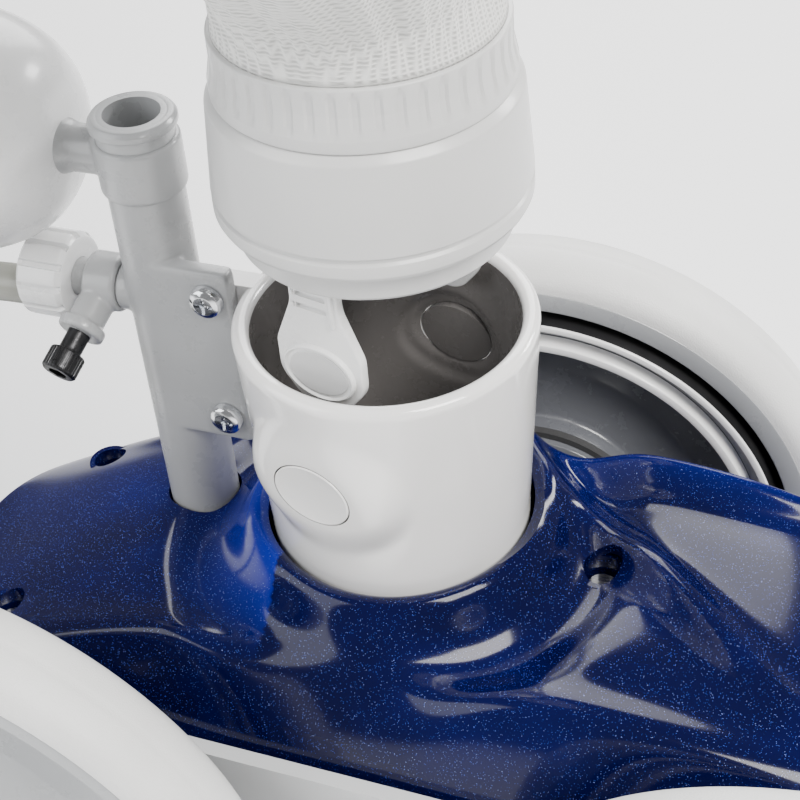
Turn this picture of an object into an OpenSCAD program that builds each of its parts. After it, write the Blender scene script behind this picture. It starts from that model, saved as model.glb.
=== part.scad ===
// Three-wheeled pool cleaner: wheels on belts, water turbine, suction tube, lift-off filter bag.
// Front is +X, left and right are Y, up is +Z. The origin is on the ground under the middle.

/* [Layout] */
// Distance between the two near wheel axles
wheelbase = 224; // [214:2:234]
// Width across the outer faces of the wheels
track_w = 204; // [198:2:230]
// Place of the suction tube along the machine
tube_x = -18; // [-24:1:-12]
// Place of the suction tube across the machine
tube_y = 8; // [4:1:12]
// Place of the far wheel along the machine
far_x = 4; // [0:1:10]

/* [Wheels] */
// Outer radius of a tyre
wheel_r = 88; // [84:1:94]
// Width of a wheel over its hub cap
wheel_w = 30; // [28:1:34]
// Width of a tyre
tyre_w = 24; // [22:1:26]
// Depth of the tyre from tread to rim
tyre_t = 8; // [6:0.5:10]
// Radius of an axle pin
axle_r = 8; // [6:0.5:9]
// Width of a bearing ring from bore to outside
bearing_t = 5; // [4:0.5:6]
// Radius of the belt drum on a wheel
drum_r = 32; // [28:1:36]

/* [Suction tube] */
// Outer radius at the rim
tube_r = 37; // [35:0.5:40]
// Wall of the tube
tube_wall = 4.3; // [3:0.1:5]
// Height of the rim above the axles
rim_rise = 112; // [104:1:124]
// Height above the axles of the shell's opening for the tube
socket_rise = 59; // [53:1:62]
// Taper of the tube radius from the rim to the collar
tube_draft = 3.1; // [2:0.1:3.5]
// Height of the release buttons below the rim
button_drop = 23; // [20:1:26]
// Direction of the near release button around the tube
button_turn = -102; // [-115:1:-90]
// Travel of a release button
button_travel = 2.5; // [2:0.1:3]

/* [Bag collar] */
// How far the collar stands above the rim when lifted
collar_lift = 41; // [34:1:46]
// Height of the collar body
collar_h = 29; // [26:1:36]
// How far the collar body stays inside the tube's outside
collar_step = 1; // [0:0.5:3]
// Height of the bag above its clamp
bag_h = 252; // [200:5:280]
// Half width of the bag across the machine
bag_half_w = 92; // [70:2:100]
// Half depth of the bag along the machine
bag_half_d = 44; // [30:2:46]

/* [Feed pipe] */
// Space between the tube and the pipe
pipe_gap = 15.4; // [13.4:0.2:19.4]
// Outer radius of the pipe
pipe_r = 9.6; // [9:0.1:10.5]
// Bore radius of the pipe
pipe_bore_r = 7; // [6:0.1:7.5]
// Height of the pipe mouth above the rim
pipe_top = 49; // [40:1:56]
// Half length of the float
float_half = 34; // [28:1:36]
// Radius of the float
float_r = 31; // [26:1:34]

/* [Body] */
// Length of the body shell
body_l = 318; // [300:2:330]
// Width of the body shell
body_w = 112; // [108:1:114]
// Wall of the shell and the chassis
wall = 3; // [2.4:0.1:3.6]
// Depth of the chassis floor below the axles
floor_drop = 66; // [62:1:70]
// Height above the axles of the joint between chassis and shell
belt_rise = 10; // [6:1:14]

/* [Sweep hose] */
// Outer diameter of the hose
hose_d = 10.5; // [9.5:0.1:11]

/* [Hidden] */
$fn = 96;

fit = 0.05;
gap = 0.3;
hull_fn = 32;

// Wheels and axles
face_y = track_w / 2;
inner_y = face_y - wheel_w;
rear_x = -wheelbase / 2;
front_x = wheelbase / 2;
axle_z = wheel_r;
rim_r = wheel_r - tyre_t;
seat_r = axle_r + bearing_t;
bearing_w = 7;
drum_w = 8.6;
hub_r = 20;
hub_depth = wheel_w - 10;
cap_r = 24;
cap_t = 2.6;
cap_z = wheel_w - cap_t - 1.4;
screw_head_r = 7;
web_r = (drum_r + rim_r) / 2 - 10;
lip_out = 2.5;
tyre_steps = 14;

// Chassis heights, measured from the axles
floor_z = axle_z - floor_drop;
belt_z = axle_z + belt_rise;
ring_z = floor_z + wall;
post_r = 6.6;
post_rise = 2;
panel_holes = [-110, -62, 40, 110];
panel_hole_z = floor_z + 10;
panel_screw_r = 1.9;

// Side panels
side_t = 4;
panel_in = body_w / 2;
panel_out = panel_in + side_t;
lane_gap = 3;
lane_w = 5.6;
axle_seat = panel_in - 3;
boss_t = 10;
boss_wall = 4;
notch_y = panel_in - boss_t - 6;
foot_block = [12, 16, 18];

// Drive
shaft_x = far_x + 50;
shaft_z = axle_z - 22;
shaft_r = 4;
pulley_r = 8;
belt_t = 1.8;
belt_w = 2.4;
turbine_r = 25;
turbine_hub_r = 10;
blades = 8;
case_r = turbine_r + 3;
case_y = -22;
case_half = 20;
turbine_w = 2 * case_half - 14;
shaft_clear = 1;

// Suction tube
rim_z = axle_z + rim_rise;
socket_z = axle_z + socket_rise;
tube_low_r = tube_r - tube_draft;
tube_foot_z = floor_z + 24;
foot_r = tube_low_r - 0.5;
button_z = rim_z - button_drop;
button_w = 21;
button_h = 17;
pocket_edge = 3;
button_out = tube_r + 1;
button_in = tube_r - tube_wall - 1;

// Water ways under the tube and the thrust jet at the rear
ring_h = 16;
ring_in = foot_r - 8;
jet_count = 3;
jet_x = -body_l / 2 + 1;
jet_z = floor_z + 36;
ball_r = 9;
socket_r = 10.6;

// Bag collar in its lifted place
collar_r = tube_r - collar_step;
seam_z = rim_z + collar_lift;
spigot_r = tube_r - tube_wall - 1;
spigot_h = 8;
collar_top_r = collar_r - 1.6;
collar_top_z = seam_z + collar_h;
clamp_h = 14;
clamp_r = collar_top_r - 1.4;
bag_z = collar_top_z + clamp_h;
bag_mouth_r = clamp_r - 2;
bag_wall = 2;
arm_hinge_z = seam_z - 5;
arm_len = 38;
arm_r = spigot_r - button_travel - 1.8;
arm_t = 2.6;
arm_disc_r = arm_r + 1.2;
arm_disc_drop = 28;
bag_rows = 14;
bag_cols = 40;

// Feed pipe and what is on it
pipe_x = tube_x - tube_r - pipe_gap - pipe_r;
pipe_y = tube_y + 5.5;
pipe_top_z = rim_z + pipe_top;
pipe_foot_z = floor_z + 22;
pipe_lip = 1.2;
flange_y = tube_y - 4;
flange_t = 5;
lug_t = 6;
flange_x = tube_x - tube_r - 8;
flange_zs = [rim_z - 2, rim_z - 40];
flange_hole_r = 2;
flange_low_z = rim_z - 48;
flange_h = 54;
float_wall = 2;
float_x = pipe_x - pipe_r - 10 - float_half;
float_z = rim_z + 38;
hose_z = rim_z - 9;
barb_x = pipe_x - pipe_r - 5;
nut_x = pipe_x - pipe_r - 17;
nut_w = 13;
nut_r = 11.6;
nut_teeth = 12;
adjust_dir = [0, 115.6, 260.4];
adjust_x = barb_x - 2;
adjust_r = 4.8;
adjust_lip_z = 13.2;
adjust_head_z = 22;
screw_r = 3;

// Shell
outline_p = 3.2;
shell_edge = 0.985;
dome_h = socket_z - belt_z - 9;
shell_screw_at = [
    [tube_x + tube_low_r + 20.6, tube_y - 0.5], [body_l / 2 - 40, -24],
    [-body_l / 2 + 36, -30], [-body_l / 2 + 36, 32]];
boss_depth = 9;
boss_hole_r = 5;
shell_rings = 13;
shell_steps = 72;
hole_r = tube_low_r + 1.2;

// Sweep hose: it leaves the nut towards the rear, drops to the ground and joins its coil
hose_route = [
    [-113, 13.5, 191], [-119, 13.5, 191], [-130, 13.5, 190.6], [-143, 13.4, 188.6], [-157, 12.9, 184],
    [-171, 11.8, 176], [-184, 10, 164.5], [-195, 7.4, 150.5], [-204, 4, 134], [-211, 0.2, 116],
    [-217, -4, 97], [-223, -8.4, 78], [-229, -12.4, 60], [-237, -16, 43], [-248, -19, 27], [-262, -21.4, 15], [-277, -22.6, 8.2],
    [-292, -22.75, 5.7], [-300, -22.75, 5.3]];
coil_x = -300;
coil_y = 40;
coil_mid_r = 57.5;
coil_turn_w = 21;
hose_sides = 10;
scrub_r = 15.75;
scrub_l = 62;
scrub_grip = 12;
tail_route = [
    [-362.75, 40, 15.75], [-362.75, 58, 15.75], [-362.75, 76, 15.75], [-362.75, 94, 15.75],
    [-362.75, 108, 15.75]];

// Points of an ellipse
function ellipse(a, b, n) = [for (i = [0 : n - 1]) [a * cos(360 * i / n), b * sin(360 * i / n)]];

// Height of the shell's outside over a place in plan, from the middle of the body
function ridge(d, w) = exp(-pow(d / w, 2));
function plan_q(x, y) =
    pow(pow(abs(x) * 2 / body_l, outline_p) + pow(abs(y) * 2 / body_w, outline_p), 1 / outline_p);
function shell_z(x, y) =
    let (q = min(plan_q(x, y), 1), r = norm([x - tube_x, y - tube_y]),
         tail = max(0, -x - 40) / 100, nose = max(0, x - 20) / 140)
    belt_z + dome_h * pow(max(0, 1 - pow(q, 5)), 0.55) * (1 - 0.7 * pow(tail, 1.5) - 0.25 * pow(nose, 2))
    + 9 * ridge(r - tube_low_r - 4, 6)
    + 6 * ridge(y + 44, 8) * (1 - pow(q, 6))
    + (6 + 11 / (1 + exp((10 - x) / 12))) * ridge(y - 45, 7) * (1 - pow(q, 6))
    + 6 * ridge(y - tube_y - 22 + 0.75 * (x - tube_x - 36), 7) * ridge(x - tube_x - 62, 36)
    - 5 * ridge(r - tube_low_r - 20, 9);

// Height of the seat under the head of a shell screw
function screw_z(p) = max(shell_z(p[0], p[1]) - boss_depth, belt_z + post_rise + 3);

// Distance from the tube axis to the outline in one direction, found by halving an interval
function search_edge(a, lo, hi, n) =
    n > 18 ? (lo + hi) / 2 :
    let (m = (lo + hi) / 2, inside = plan_q(tube_x + m * cos(a), tube_y + m * sin(a)) < shell_edge)
    inside ? search_edge(a, m, hi, n + 1) : search_edge(a, lo, m, n + 1);
function edge_r(a) = search_edge(a, 20, 200, 0);

// Points of the shell in rings, from the tube hole to the outline
function shell_pt(i, j, inset, drop) =
    let (a = 360 * j / shell_steps, s = pow(i / shell_rings, 0.85),
         r = hole_r + (edge_r(a) - inset - hole_r) * s,
         x = tube_x + r * cos(a), y = tube_y + r * sin(a))
    [x, y, shell_z(x, y) - drop];

module top_shell() {
    n = shell_steps;
    m = shell_rings;
    pts = concat(
        [for (i = [0 : m]) for (j = [0 : n - 1]) shell_pt(i, j, 0, 0)],
        [for (j = [0 : n - 1]) let (p = shell_pt(m, j, 0, 0)) [p[0], p[1], belt_z + gap]],
        [for (j = [0 : n - 1]) let (p = shell_pt(m, j, wall, 0)) [p[0], p[1], belt_z + gap]],
        [for (i = [m : -1 : 0]) for (j = [0 : n - 1]) shell_pt(i, j, wall, wall)]);
    rows = 2 * m + 4;
    color("mediumblue") resize([0, 0, 0]) difference() {
        union() {
            polyhedron(points = pts, faces = [for (k = [0 : rows - 1]) for (j = [0 : n - 1]) each
                let (a = k * n + j, b = k * n + (j + 1) % n, next = ((k + 1) % rows) * n,
                     c = next + (j + 1) % n, d = next + j) [[a, b, c], [a, c, d]]]);
            for (p = shell_screw_at) translate([p[0], p[1], belt_z + post_rise])
                cylinder(r = post_r, h = shell_z(p[0], p[1]) - belt_z - post_rise - 1, $fn = 24);
        }
        translate([pipe_x, pipe_y, belt_z]) cylinder(r = pipe_r + 0.8, h = body_w, $fn = 32);
        for (p = shell_screw_at) {
            translate([p[0], p[1], belt_z]) cylinder(r = 2, h = body_w, $fn = 16);
            translate([p[0], p[1], screw_z(p)]) cylinder(r = boss_hole_r, h = 40, $fn = 24);
        }
        for (x = [rear_x, front_x]) along_y(x, -body_w, axle_z)
            cylinder(r = axle_r + boss_wall + 1, h = body_w - notch_y, $fn = 40);
        along_y(far_x, notch_y, axle_z) cylinder(r = axle_r + boss_wall + 1, h = body_w, $fn = 40);
    }
}

// Chassis: a tray with a hole for the tube, posts for the shell and holes for the shaft and axles
module body_outline(inset) polygon([for (j = [0 : shell_steps - 1])
    let (a = 360 * j / shell_steps, r = edge_r(a) - inset) [tube_x + r * cos(a), tube_y + r * sin(a)]]);
module base_frame() color("royalblue") difference() {
    union() {
        difference() {
            translate([0, 0, floor_z]) linear_extrude(belt_z - floor_z) body_outline(0);
            translate([0, 0, floor_z + wall]) linear_extrude(belt_z) body_outline(wall);
        }
        for (p = shell_screw_at) translate([p[0], p[1], floor_z])
            cylinder(r = post_r, h = belt_z + post_rise - floor_z);
        for (s = [-1, 1]) for (x = panel_holes)
            translate([x - foot_block[0] / 2, (s * (body_w - foot_block[1]) - foot_block[1]) / 2, floor_z])
                cube(foot_block);
        for (p = [[rear_x, -panel_in], [front_x, -panel_in], [far_x, panel_in - boss_t]])
            along_y(p[0], p[1], axle_z) cylinder(r = axle_r + boss_wall, h = boss_t);
    }
    for (p = shell_screw_at) translate([p[0], p[1], floor_z + 20]) cylinder(r = 2, h = 120);
    translate([tube_x, tube_y, 0]) cylinder(r = foot_r + 1, h = floor_z + 12);
    along_y(shaft_x, -body_w, shaft_z) cylinder(r = shaft_r + 5, h = 2 * body_w);
    for (x = [rear_x, front_x]) along_y(x, -body_w, axle_z) cylinder(r = axle_r, h = body_w - axle_seat + gap);
    along_y(far_x, axle_seat - gap, axle_z) cylinder(r = axle_r, h = body_w);
    for (x = panel_holes) along_y(x, -body_w, panel_hole_z) cylinder(r = panel_screw_r, h = 2 * body_w);
    translate([-body_l / 2 - 10, 0, jet_z]) rotate([0, 90, 0]) cylinder(r = socket_r, h = 30);
}

module along_y(x, y, z) translate([x, y, z]) rotate([-90, 0, 0]) children();

module side_panel(s, xs) {
    y0 = s > 0 ? panel_in : -panel_out;
    difference() {
        along_y(0, y0, 0) linear_extrude(side_t) hull() {
            for (x = xs) translate([x, -axle_z]) circle(r = axle_r + 14, $fn = hull_fn);
            translate([shaft_x, -shaft_z]) circle(r = shaft_r + 14, $fn = hull_fn);
            for (e = [-1, 1]) translate([e * (body_l / 2 - 40), -floor_z - 16]) circle(r = 12, $fn = hull_fn);
        }
        for (x = xs) along_y(x, -body_w, axle_z) cylinder(r = axle_r + fit, h = 2 * body_w);
        along_y(shaft_x, -body_w, shaft_z) cylinder(r = shaft_r + 3, h = 2 * body_w);
        for (x = panel_holes) along_y(x, -body_w, panel_hole_z)
            cylinder(r = panel_screw_r + 0.1, h = 2 * body_w);
    }
}
module near_side_panel() color("gainsboro") side_panel(-1, [rear_x, front_x]);
module far_side_panel() color("gainsboro") side_panel(1, [far_x]);
module panel_screws() color("silver")
    for (s = [-1, 1]) for (x = panel_holes)
        translate([x, s * panel_out, panel_hole_z]) rotate([s * -90, 0, 0]) {
            cylinder(r = panel_screw_r + 1.7, h = 2.2);
            translate([0, 0, -side_t - 3]) cylinder(r = panel_screw_r, h = side_t + 3.2);
        }

// Wheels: drawn with the axle on Z and the inner face at 0, then laid on their side
module on_axle(x, s) translate([x, s * inner_y, axle_z]) rotate([s * -90, 0, 0]) children();
module axle_pin() difference() {
    translate([0, 0, -(inner_y - axle_seat)]) cylinder(r = axle_r, h = inner_y - axle_seat + hub_depth + 1);
    translate([0, 0, hub_depth - 12]) cylinder(r = 2.5, h = 20);
}
module rear_axle() color("gainsboro") on_axle(rear_x, -1) axle_pin();
module front_axle() color("gainsboro") on_axle(front_x, -1) axle_pin();
module far_axle() color("gainsboro") on_axle(far_x, 1) axle_pin();
module each_wheel() {
    on_axle(rear_x, -1) children();
    on_axle(front_x, -1) children();
    on_axle(far_x, 1) children();
}
module wheel_washers() color("silver") each_wheel() translate([0, 0, hub_depth + 1]) difference() {
    cylinder(r = axle_r + 3, h = 1.5);
    translate([0, 0, -1]) cylinder(r = 2.6, h = 4);
}
module wheel_screws() color("silver") each_wheel() translate([0, 0, hub_depth + 2.5]) {
    cylinder(r = screw_head_r, h = 3);
    translate([0, 0, -12]) cylinder(r = 2.4, h = 12);
}
// The rim: a dished disc with raised rings, a drum for the belt and seats for two bearings
module wheel_rim() difference() {
    rotate_extrude() polygon([
        [seat_r + 0.001, -drum_w], [drum_r - 3, -drum_w], [drum_r, -drum_w + 1], [drum_r, -1],
        [drum_r - 2, 0], [drum_r - 2, 6], [web_r, 9], [rim_r - 18.6, 7], [rim_r - 18.6, -lip_out],
        [rim_r - 15.6, -lip_out], [rim_r - 15.6, 3], [rim_r - 11.3, 3], [rim_r - 11.3, -lip_out],
        [rim_r - 9.1, -lip_out], [rim_r - 9.1, 9], [rim_r - 6.3, 9], [rim_r - 6.3, 0.4], [rim_r, 0.4],
        [rim_r, tyre_w - 1], [rim_r - 4, tyre_w], [rim_r - 7, tyre_w - 3], [rim_r - 9, tyre_w - 9],
        [web_r, tyre_w - 10.5], [cap_r + 6, wheel_w - 10], [cap_r + 4, wheel_w - 1], [cap_r, wheel_w - 1],
        [cap_r, cap_z], [hub_r - 1, cap_z], [hub_r - 1, hub_depth], [seat_r + 0.001, hub_depth]]);
}
module rear_wheel() color("gainsboro") on_axle(rear_x, -1) wheel_rim();
module front_wheel() color("gainsboro") on_axle(front_x, -1) wheel_rim();
module far_wheel() color("gainsboro") on_axle(far_x, 1) wheel_rim();
module tyre_ring() rotate_extrude() polygon([for (i = [0 : tyre_steps]) let (a = 180 * i / tyre_steps - 90)
    [rim_r + tyre_t * pow(max(0, cos(a)), 0.7), tyre_w / 2 + (tyre_w / 2 - 0.6) * sin(a)]]);
module rear_tyre() color("white") on_axle(rear_x, -1) tyre_ring();
module front_tyre() color("white") on_axle(front_x, -1) tyre_ring();
module far_tyre() color("white") on_axle(far_x, 1) tyre_ring();
module bearing_pair() for (z = [0, hub_depth - bearing_w]) translate([0, 0, z]) difference() {
    cylinder(r = seat_r, h = bearing_w);
    translate([0, 0, -1]) cylinder(r = axle_r + fit, h = bearing_w + 2);
}
module rear_bearings() color("silver") on_axle(rear_x, -1) bearing_pair();
module front_bearings() color("silver") on_axle(front_x, -1) bearing_pair();
module far_bearings() color("silver") on_axle(far_x, 1) bearing_pair();
module hub_cap() translate([0, 0, cap_z]) {
    cylinder(r = cap_r, h = cap_t + 0.4);
    translate([0, 0, cap_t + 0.4]) cylinder(r = cap_r - 4, h = 1);
}
module rear_hub_cap() color("white") on_axle(rear_x, -1) hub_cap();
module front_hub_cap() color("white") on_axle(front_x, -1) hub_cap();
module far_hub_cap() color("white") on_axle(far_x, 1) hub_cap();

// Turbine, shaft, pulleys and belts
module turbine_housing() color("white") difference() {
    union() {
        along_y(shaft_x, case_y - case_half, shaft_z) cylinder(r = case_r, h = 2 * case_half - 3);
        translate([shaft_x - 14, case_y - 8, ring_z]) cube([28, 16, shaft_z - case_r - ring_z + 5]);
    }
    along_y(shaft_x, case_y - case_half + 3, shaft_z) cylinder(r = case_r - 2, h = 2 * case_half);
    along_y(shaft_x, -body_w, shaft_z) cylinder(r = shaft_r + shaft_clear, h = 2 * body_w);
    translate([shaft_x - 9, case_y, ring_z + 3]) cylinder(r = 4, h = 24);
}
module turbine_cover() color("white") difference() {
    union() {
        along_y(shaft_x, case_y + case_half - 3, shaft_z) cylinder(r = case_r, h = 3);
        along_y(shaft_x, case_y + case_half - 6, shaft_z) cylinder(r = case_r - 2, h = 3);
    }
    along_y(shaft_x, case_y + case_half - 8, shaft_z) cylinder(r = case_r - 4, h = 5);
    along_y(shaft_x, -body_w, shaft_z) cylinder(r = shaft_r + shaft_clear, h = 2 * body_w);
}
module turbine_wheel() color("dodgerblue") difference() {
    along_y(shaft_x, case_y - turbine_w / 2, shaft_z) {
        cylinder(r = turbine_hub_r, h = turbine_w);
        for (i = [0 : blades - 1]) rotate([0, 0, 360 * i / blades])
            translate([turbine_hub_r - 2, -1, 0]) cube([turbine_r - turbine_hub_r + 1, 2, turbine_w]);
    }
    along_y(shaft_x, -body_w, shaft_z) cylinder(r = shaft_r, h = 2 * body_w);
}
module drive_shaft() color("silver") along_y(shaft_x, -inner_y + lane_gap, shaft_z)
    cylinder(r = shaft_r, h = 2 * (inner_y - lane_gap));
module shaft_bushes() color("white") for (s = [-1, 1])
    along_y(shaft_x, s * (panel_in + side_t / 2) - side_t / 2, shaft_z) difference() {
        cylinder(r = shaft_r + 3, h = side_t);
        translate([0, 0, -1]) cylinder(r = shaft_r + fit, h = side_t + 2);
    }
module drive_pulley(s) along_y(shaft_x, s > 0 ? inner_y - lane_gap - lane_w : -inner_y + lane_gap, shaft_z) difference() {
    cylinder(r = pulley_r, h = lane_w);
    translate([0, 0, -1]) cylinder(r = shaft_r, h = lane_w + 2);
}
module near_drive_pulley() color("white") drive_pulley(-1);
module far_drive_pulley() color("white") drive_pulley(1);
module belt(x, y) along_y(0, y, 0) linear_extrude(belt_w) difference() {
    hull() {
        translate([shaft_x, -shaft_z]) circle(r = pulley_r + gap + belt_t, $fn = 48);
        translate([x, -axle_z]) circle(r = drum_r + gap + belt_t, $fn = 96);
    }
    hull() {
        translate([shaft_x, -shaft_z]) circle(r = pulley_r + gap, $fn = 48);
        translate([x, -axle_z]) circle(r = drum_r + gap, $fn = 96);
    }
}
module rear_belt() color("dimgray") belt(rear_x, -inner_y + lane_gap + 0.3);
module front_belt() color("dimgray") belt(front_x, -inner_y + lane_gap + 0.5 + belt_w);
module far_belt() color("dimgray") belt(far_x, inner_y - lane_gap - belt_w - 0.4);

// Water ways under the tube
module water_manifold() color("white") difference() {
    union() {
        translate([tube_x, tube_y, ring_z]) cylinder(r = foot_r + 8, h = ring_h);
        translate([pipe_x, pipe_y, ring_z]) cylinder(r = pipe_r + 3, h = pipe_foot_z + 12 - ring_z);
        translate([pipe_x, pipe_y - 7, ring_z]) cube([tube_x - pipe_x - foot_r, 14, ring_h]);
        translate([-body_l / 2 + 26, -7, ring_z]) cube([pipe_x + body_l / 2 - 18, 14, ring_h]);
        translate([tube_x + 20, case_y - 6, ring_z]) cube([shaft_x - 34 - tube_x, 12, 12]);
    }
    translate([tube_x, tube_y, 0]) cylinder(r = ring_in, h = rim_z);
    translate([tube_x, tube_y, tube_foot_z - 6]) cylinder(r = foot_r + 0.001, h = rim_z);
    translate([pipe_x, pipe_y, pipe_foot_z]) cylinder(r = pipe_r, h = rim_z);
    translate([pipe_x, pipe_y, ring_z + 3]) cylinder(r = pipe_bore_r + 0.8, h = rim_z);
}
module vacuum_jets() color("white") translate([tube_x, tube_y, 0]) for (i = [0 : jet_count - 1])
    rotate([0, 0, 30 + 360 * i / jet_count]) translate([ring_in + 1.8, 0, tube_foot_z - 6]) difference() {
        union() {
            cylinder(r = 1.7, h = 8);
            translate([0, 0, 8]) cylinder(r1 = 1.7, r2 = 1.2, h = 6);
        }
        translate([0, 0, -1]) cylinder(r = 0.8, h = 20);
    }

// Thrust jet at the rear: a ball held in a cup by a screwed ring
module along_back(x) translate([x, 0, jet_z]) rotate([0, -90, 0]) children();
module thrust_jet_socket() color("white") difference() {
    union() {
        along_back(jet_x + 16) cylinder(r = socket_r, h = 16);
        translate([jet_x + 12, -6, ring_z + ring_h]) cube([12, 12, jet_z - ring_z - ring_h]);
    }
    translate([jet_x, 0, jet_z]) sphere(r = ball_r + gap);
    along_back(jet_x + 10) cylinder(r = 4, h = 12);
}
module thrust_jet_ball() color("white") difference() {
    union() {
        translate([jet_x, 0, jet_z]) sphere(r = ball_r);
        along_back(jet_x) cylinder(r1 = 5.5, r2 = 4.4, h = 20);
    }
    along_back(jet_x + 12) cylinder(r = 2.4, h = 40);
}
module thrust_jet_ring() color("white") difference() {
    along_back(jet_x) cylinder(r = 14, h = 6);
    translate([jet_x, 0, jet_z]) sphere(r = ball_r + gap);
    along_back(jet_x + 1) cylinder(r = 8.4, h = 12);
}

// Suction tube with its lug for the feed pipe and two windows for the release buttons
function tube_out(z) = z > socket_z ? tube_low_r + tube_draft * (z - socket_z) / (rim_z - socket_z)
    : foot_r + (tube_low_r - foot_r) * (z - tube_foot_z) / (socket_z - tube_foot_z);
module around_tube(turn, z) translate([tube_x, tube_y, z]) rotate([90, 0, turn + 90]) children();
module vacuum_tube() color("white") difference() {
    union() {
        translate([tube_x, tube_y, 0]) rotate_extrude() polygon([
            [ring_in, tube_foot_z - 6], [foot_r, tube_foot_z - 6], [tube_low_r, socket_z],
            [tube_r, rim_z - 1.6], [tube_r - 1.4, rim_z], [ring_in, rim_z]]);
        for (t = [0, 180]) around_tube(button_turn + t, button_z) linear_extrude(tube_r + 0.4)
            polygon(ellipse(button_w / 2 + pocket_edge, button_h / 2 + pocket_edge, 48));
        translate([flange_x - 6, flange_y + flange_t, flange_low_z])
            cube([tube_x - flange_x - 10, lug_t, flange_h]);
    }
    translate([tube_x, tube_y, 0]) rotate_extrude() polygon([
        [0, tube_foot_z - 9], [foot_r - tube_wall, tube_foot_z - 9], [foot_r - tube_wall, tube_foot_z],
        [tube_low_r - tube_wall, socket_z], [tube_r - tube_wall, rim_z - 1],
        [tube_r - tube_wall + 1, rim_z + 9], [0, rim_z + 9]]);
    for (t = [0, 180]) around_tube(button_turn + t, button_z)
        linear_extrude(tube_r + 20) polygon(ellipse(button_w / 2 + gap, button_h / 2 + gap, 48));
    for (z = flange_zs) along_y(flange_x, flange_y, z) cylinder(r = flange_hole_r, h = 40);
    translate([tube_x, tube_y, rim_z]) cylinder(r = tube_r + 1, h = 20);
}
module release_button(t) around_tube(button_turn + t, button_z) translate([0, 0, button_in])
    linear_extrude(button_out - button_in) polygon(ellipse(button_w / 2, button_h / 2, 48));
module near_release_button() color("white") release_button(0);
module far_release_button() color("white") release_button(180);

// Bag collar, its two snap arms, the clamp ring and the bag
module bag_collar() color("white") translate([tube_x, tube_y, 0]) difference() {
    rotate_extrude() polygon([
        [spigot_r - 3, seam_z - spigot_h], [spigot_r - 0.8, seam_z - spigot_h],
        [spigot_r, seam_z - spigot_h + 1], [spigot_r, seam_z], [collar_r - 0.6, seam_z],
        [collar_r, seam_z + 1.2], [collar_r, seam_z + 4], [collar_r - 0.7, seam_z + 4.6], [collar_r - 0.7, seam_z + 5.4], [collar_r, seam_z + 6],
        [collar_top_r, collar_top_z - 2], [collar_top_r - 2, collar_top_z], [bag_mouth_r - 2, collar_top_z],
        [spigot_r - 3, collar_top_z - 6]]);
    for (t = [0, 180]) rotate([0, 0, button_turn + t]) translate([arm_r - 8, -9, arm_hinge_z - 12])
        cube([7.6 + arm_t, 18, 20]);
}
module snap_arm(t) translate([tube_x, tube_y, arm_hinge_z]) rotate([0, 0, button_turn + t]) {
    translate([arm_r - arm_t, 0, 0]) rotate([0, 90, 0]) linear_extrude(arm_t) polygon([
        [-6, -8.6], [-6, 8.6], [8, 8.6], [13, 11.4], [arm_len - 3, 11.4], [arm_len, 8.4], [arm_len, -8.4],
        [arm_len - 3, -11.4], [13, -11.4], [8, -8.6]]);
    translate([arm_r - 0.5, 0, -arm_disc_drop]) rotate([0, 90, 0]) rotate([0, 0, 90])
        linear_extrude(arm_disc_r - arm_r + 0.5) polygon(ellipse(9.6, 7.4, 48));
    for (i = [0 : 3]) translate([arm_r - 0.4, -7 + 0.6 * i, 1 - 2.4 * i]) cube([1.4, 14 - 1.2 * i, 1.1]);
}
module near_snap_arm() color("white") snap_arm(0);
module far_snap_arm() color("white") snap_arm(180);
module bag_clamp_ring() color("whitesmoke") translate([tube_x, tube_y, 0]) rotate_extrude() polygon([
    [bag_mouth_r - bag_wall, collar_top_z], [clamp_r, collar_top_z], [clamp_r, collar_top_z + 3],
    [clamp_r - 1, collar_top_z + 8], [clamp_r - 1, bag_z], [bag_mouth_r - bag_wall, bag_z]]);
// Bag: a round mouth that opens to a flat pillow and closes along a line at the top
function bag_half(s, mouth, wide, top) =
    s < 0.4 ? mouth + (wide - mouth) * pow(sin(90 * s / 0.4), 1.3)
    : top + (wide - top) * pow(max(0, cos(90 * (s - 0.4) / 0.6)), 0.62);
function bag_pt(k, j, inset) =
    let (s = k / bag_rows, a = 360 * j / bag_cols,
         w = bag_half(s, bag_mouth_r, bag_half_w, bag_half_w * 0.8) - inset,
         d = bag_half(s, bag_mouth_r, bag_half_d, 4) - inset)
    [tube_x + max(d, 1) * cos(a), tube_y + w * sin(a), bag_z + (bag_h - inset * (k == bag_rows ? 1 : 0)) * s];
module filter_bag() {
    n = bag_cols;
    pts = concat([for (k = [0 : bag_rows]) for (j = [0 : n - 1]) bag_pt(k, j, 0)],
                 [for (k = [bag_rows : -1 : 0]) for (j = [0 : n - 1]) bag_pt(k, j, bag_wall)]);
    rows = 2 * bag_rows + 2;
    color("white") polyhedron(points = pts, faces = concat(
        [for (k = [0 : rows - 1]) if (k != bag_rows) for (j = [0 : n - 1]) each
            let (a = k * n + j, b = k * n + (j + 1) % n, next = ((k + 1) % rows) * n,
                 c = next + (j + 1) % n, d = next + j) [[a, d, b], [b, d, c]]],
        [[for (j = [n - 1 : -1 : 0]) bag_rows * n + j], [for (j = [0 : n - 1]) (bag_rows + 1) * n + j]]));
}

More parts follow.
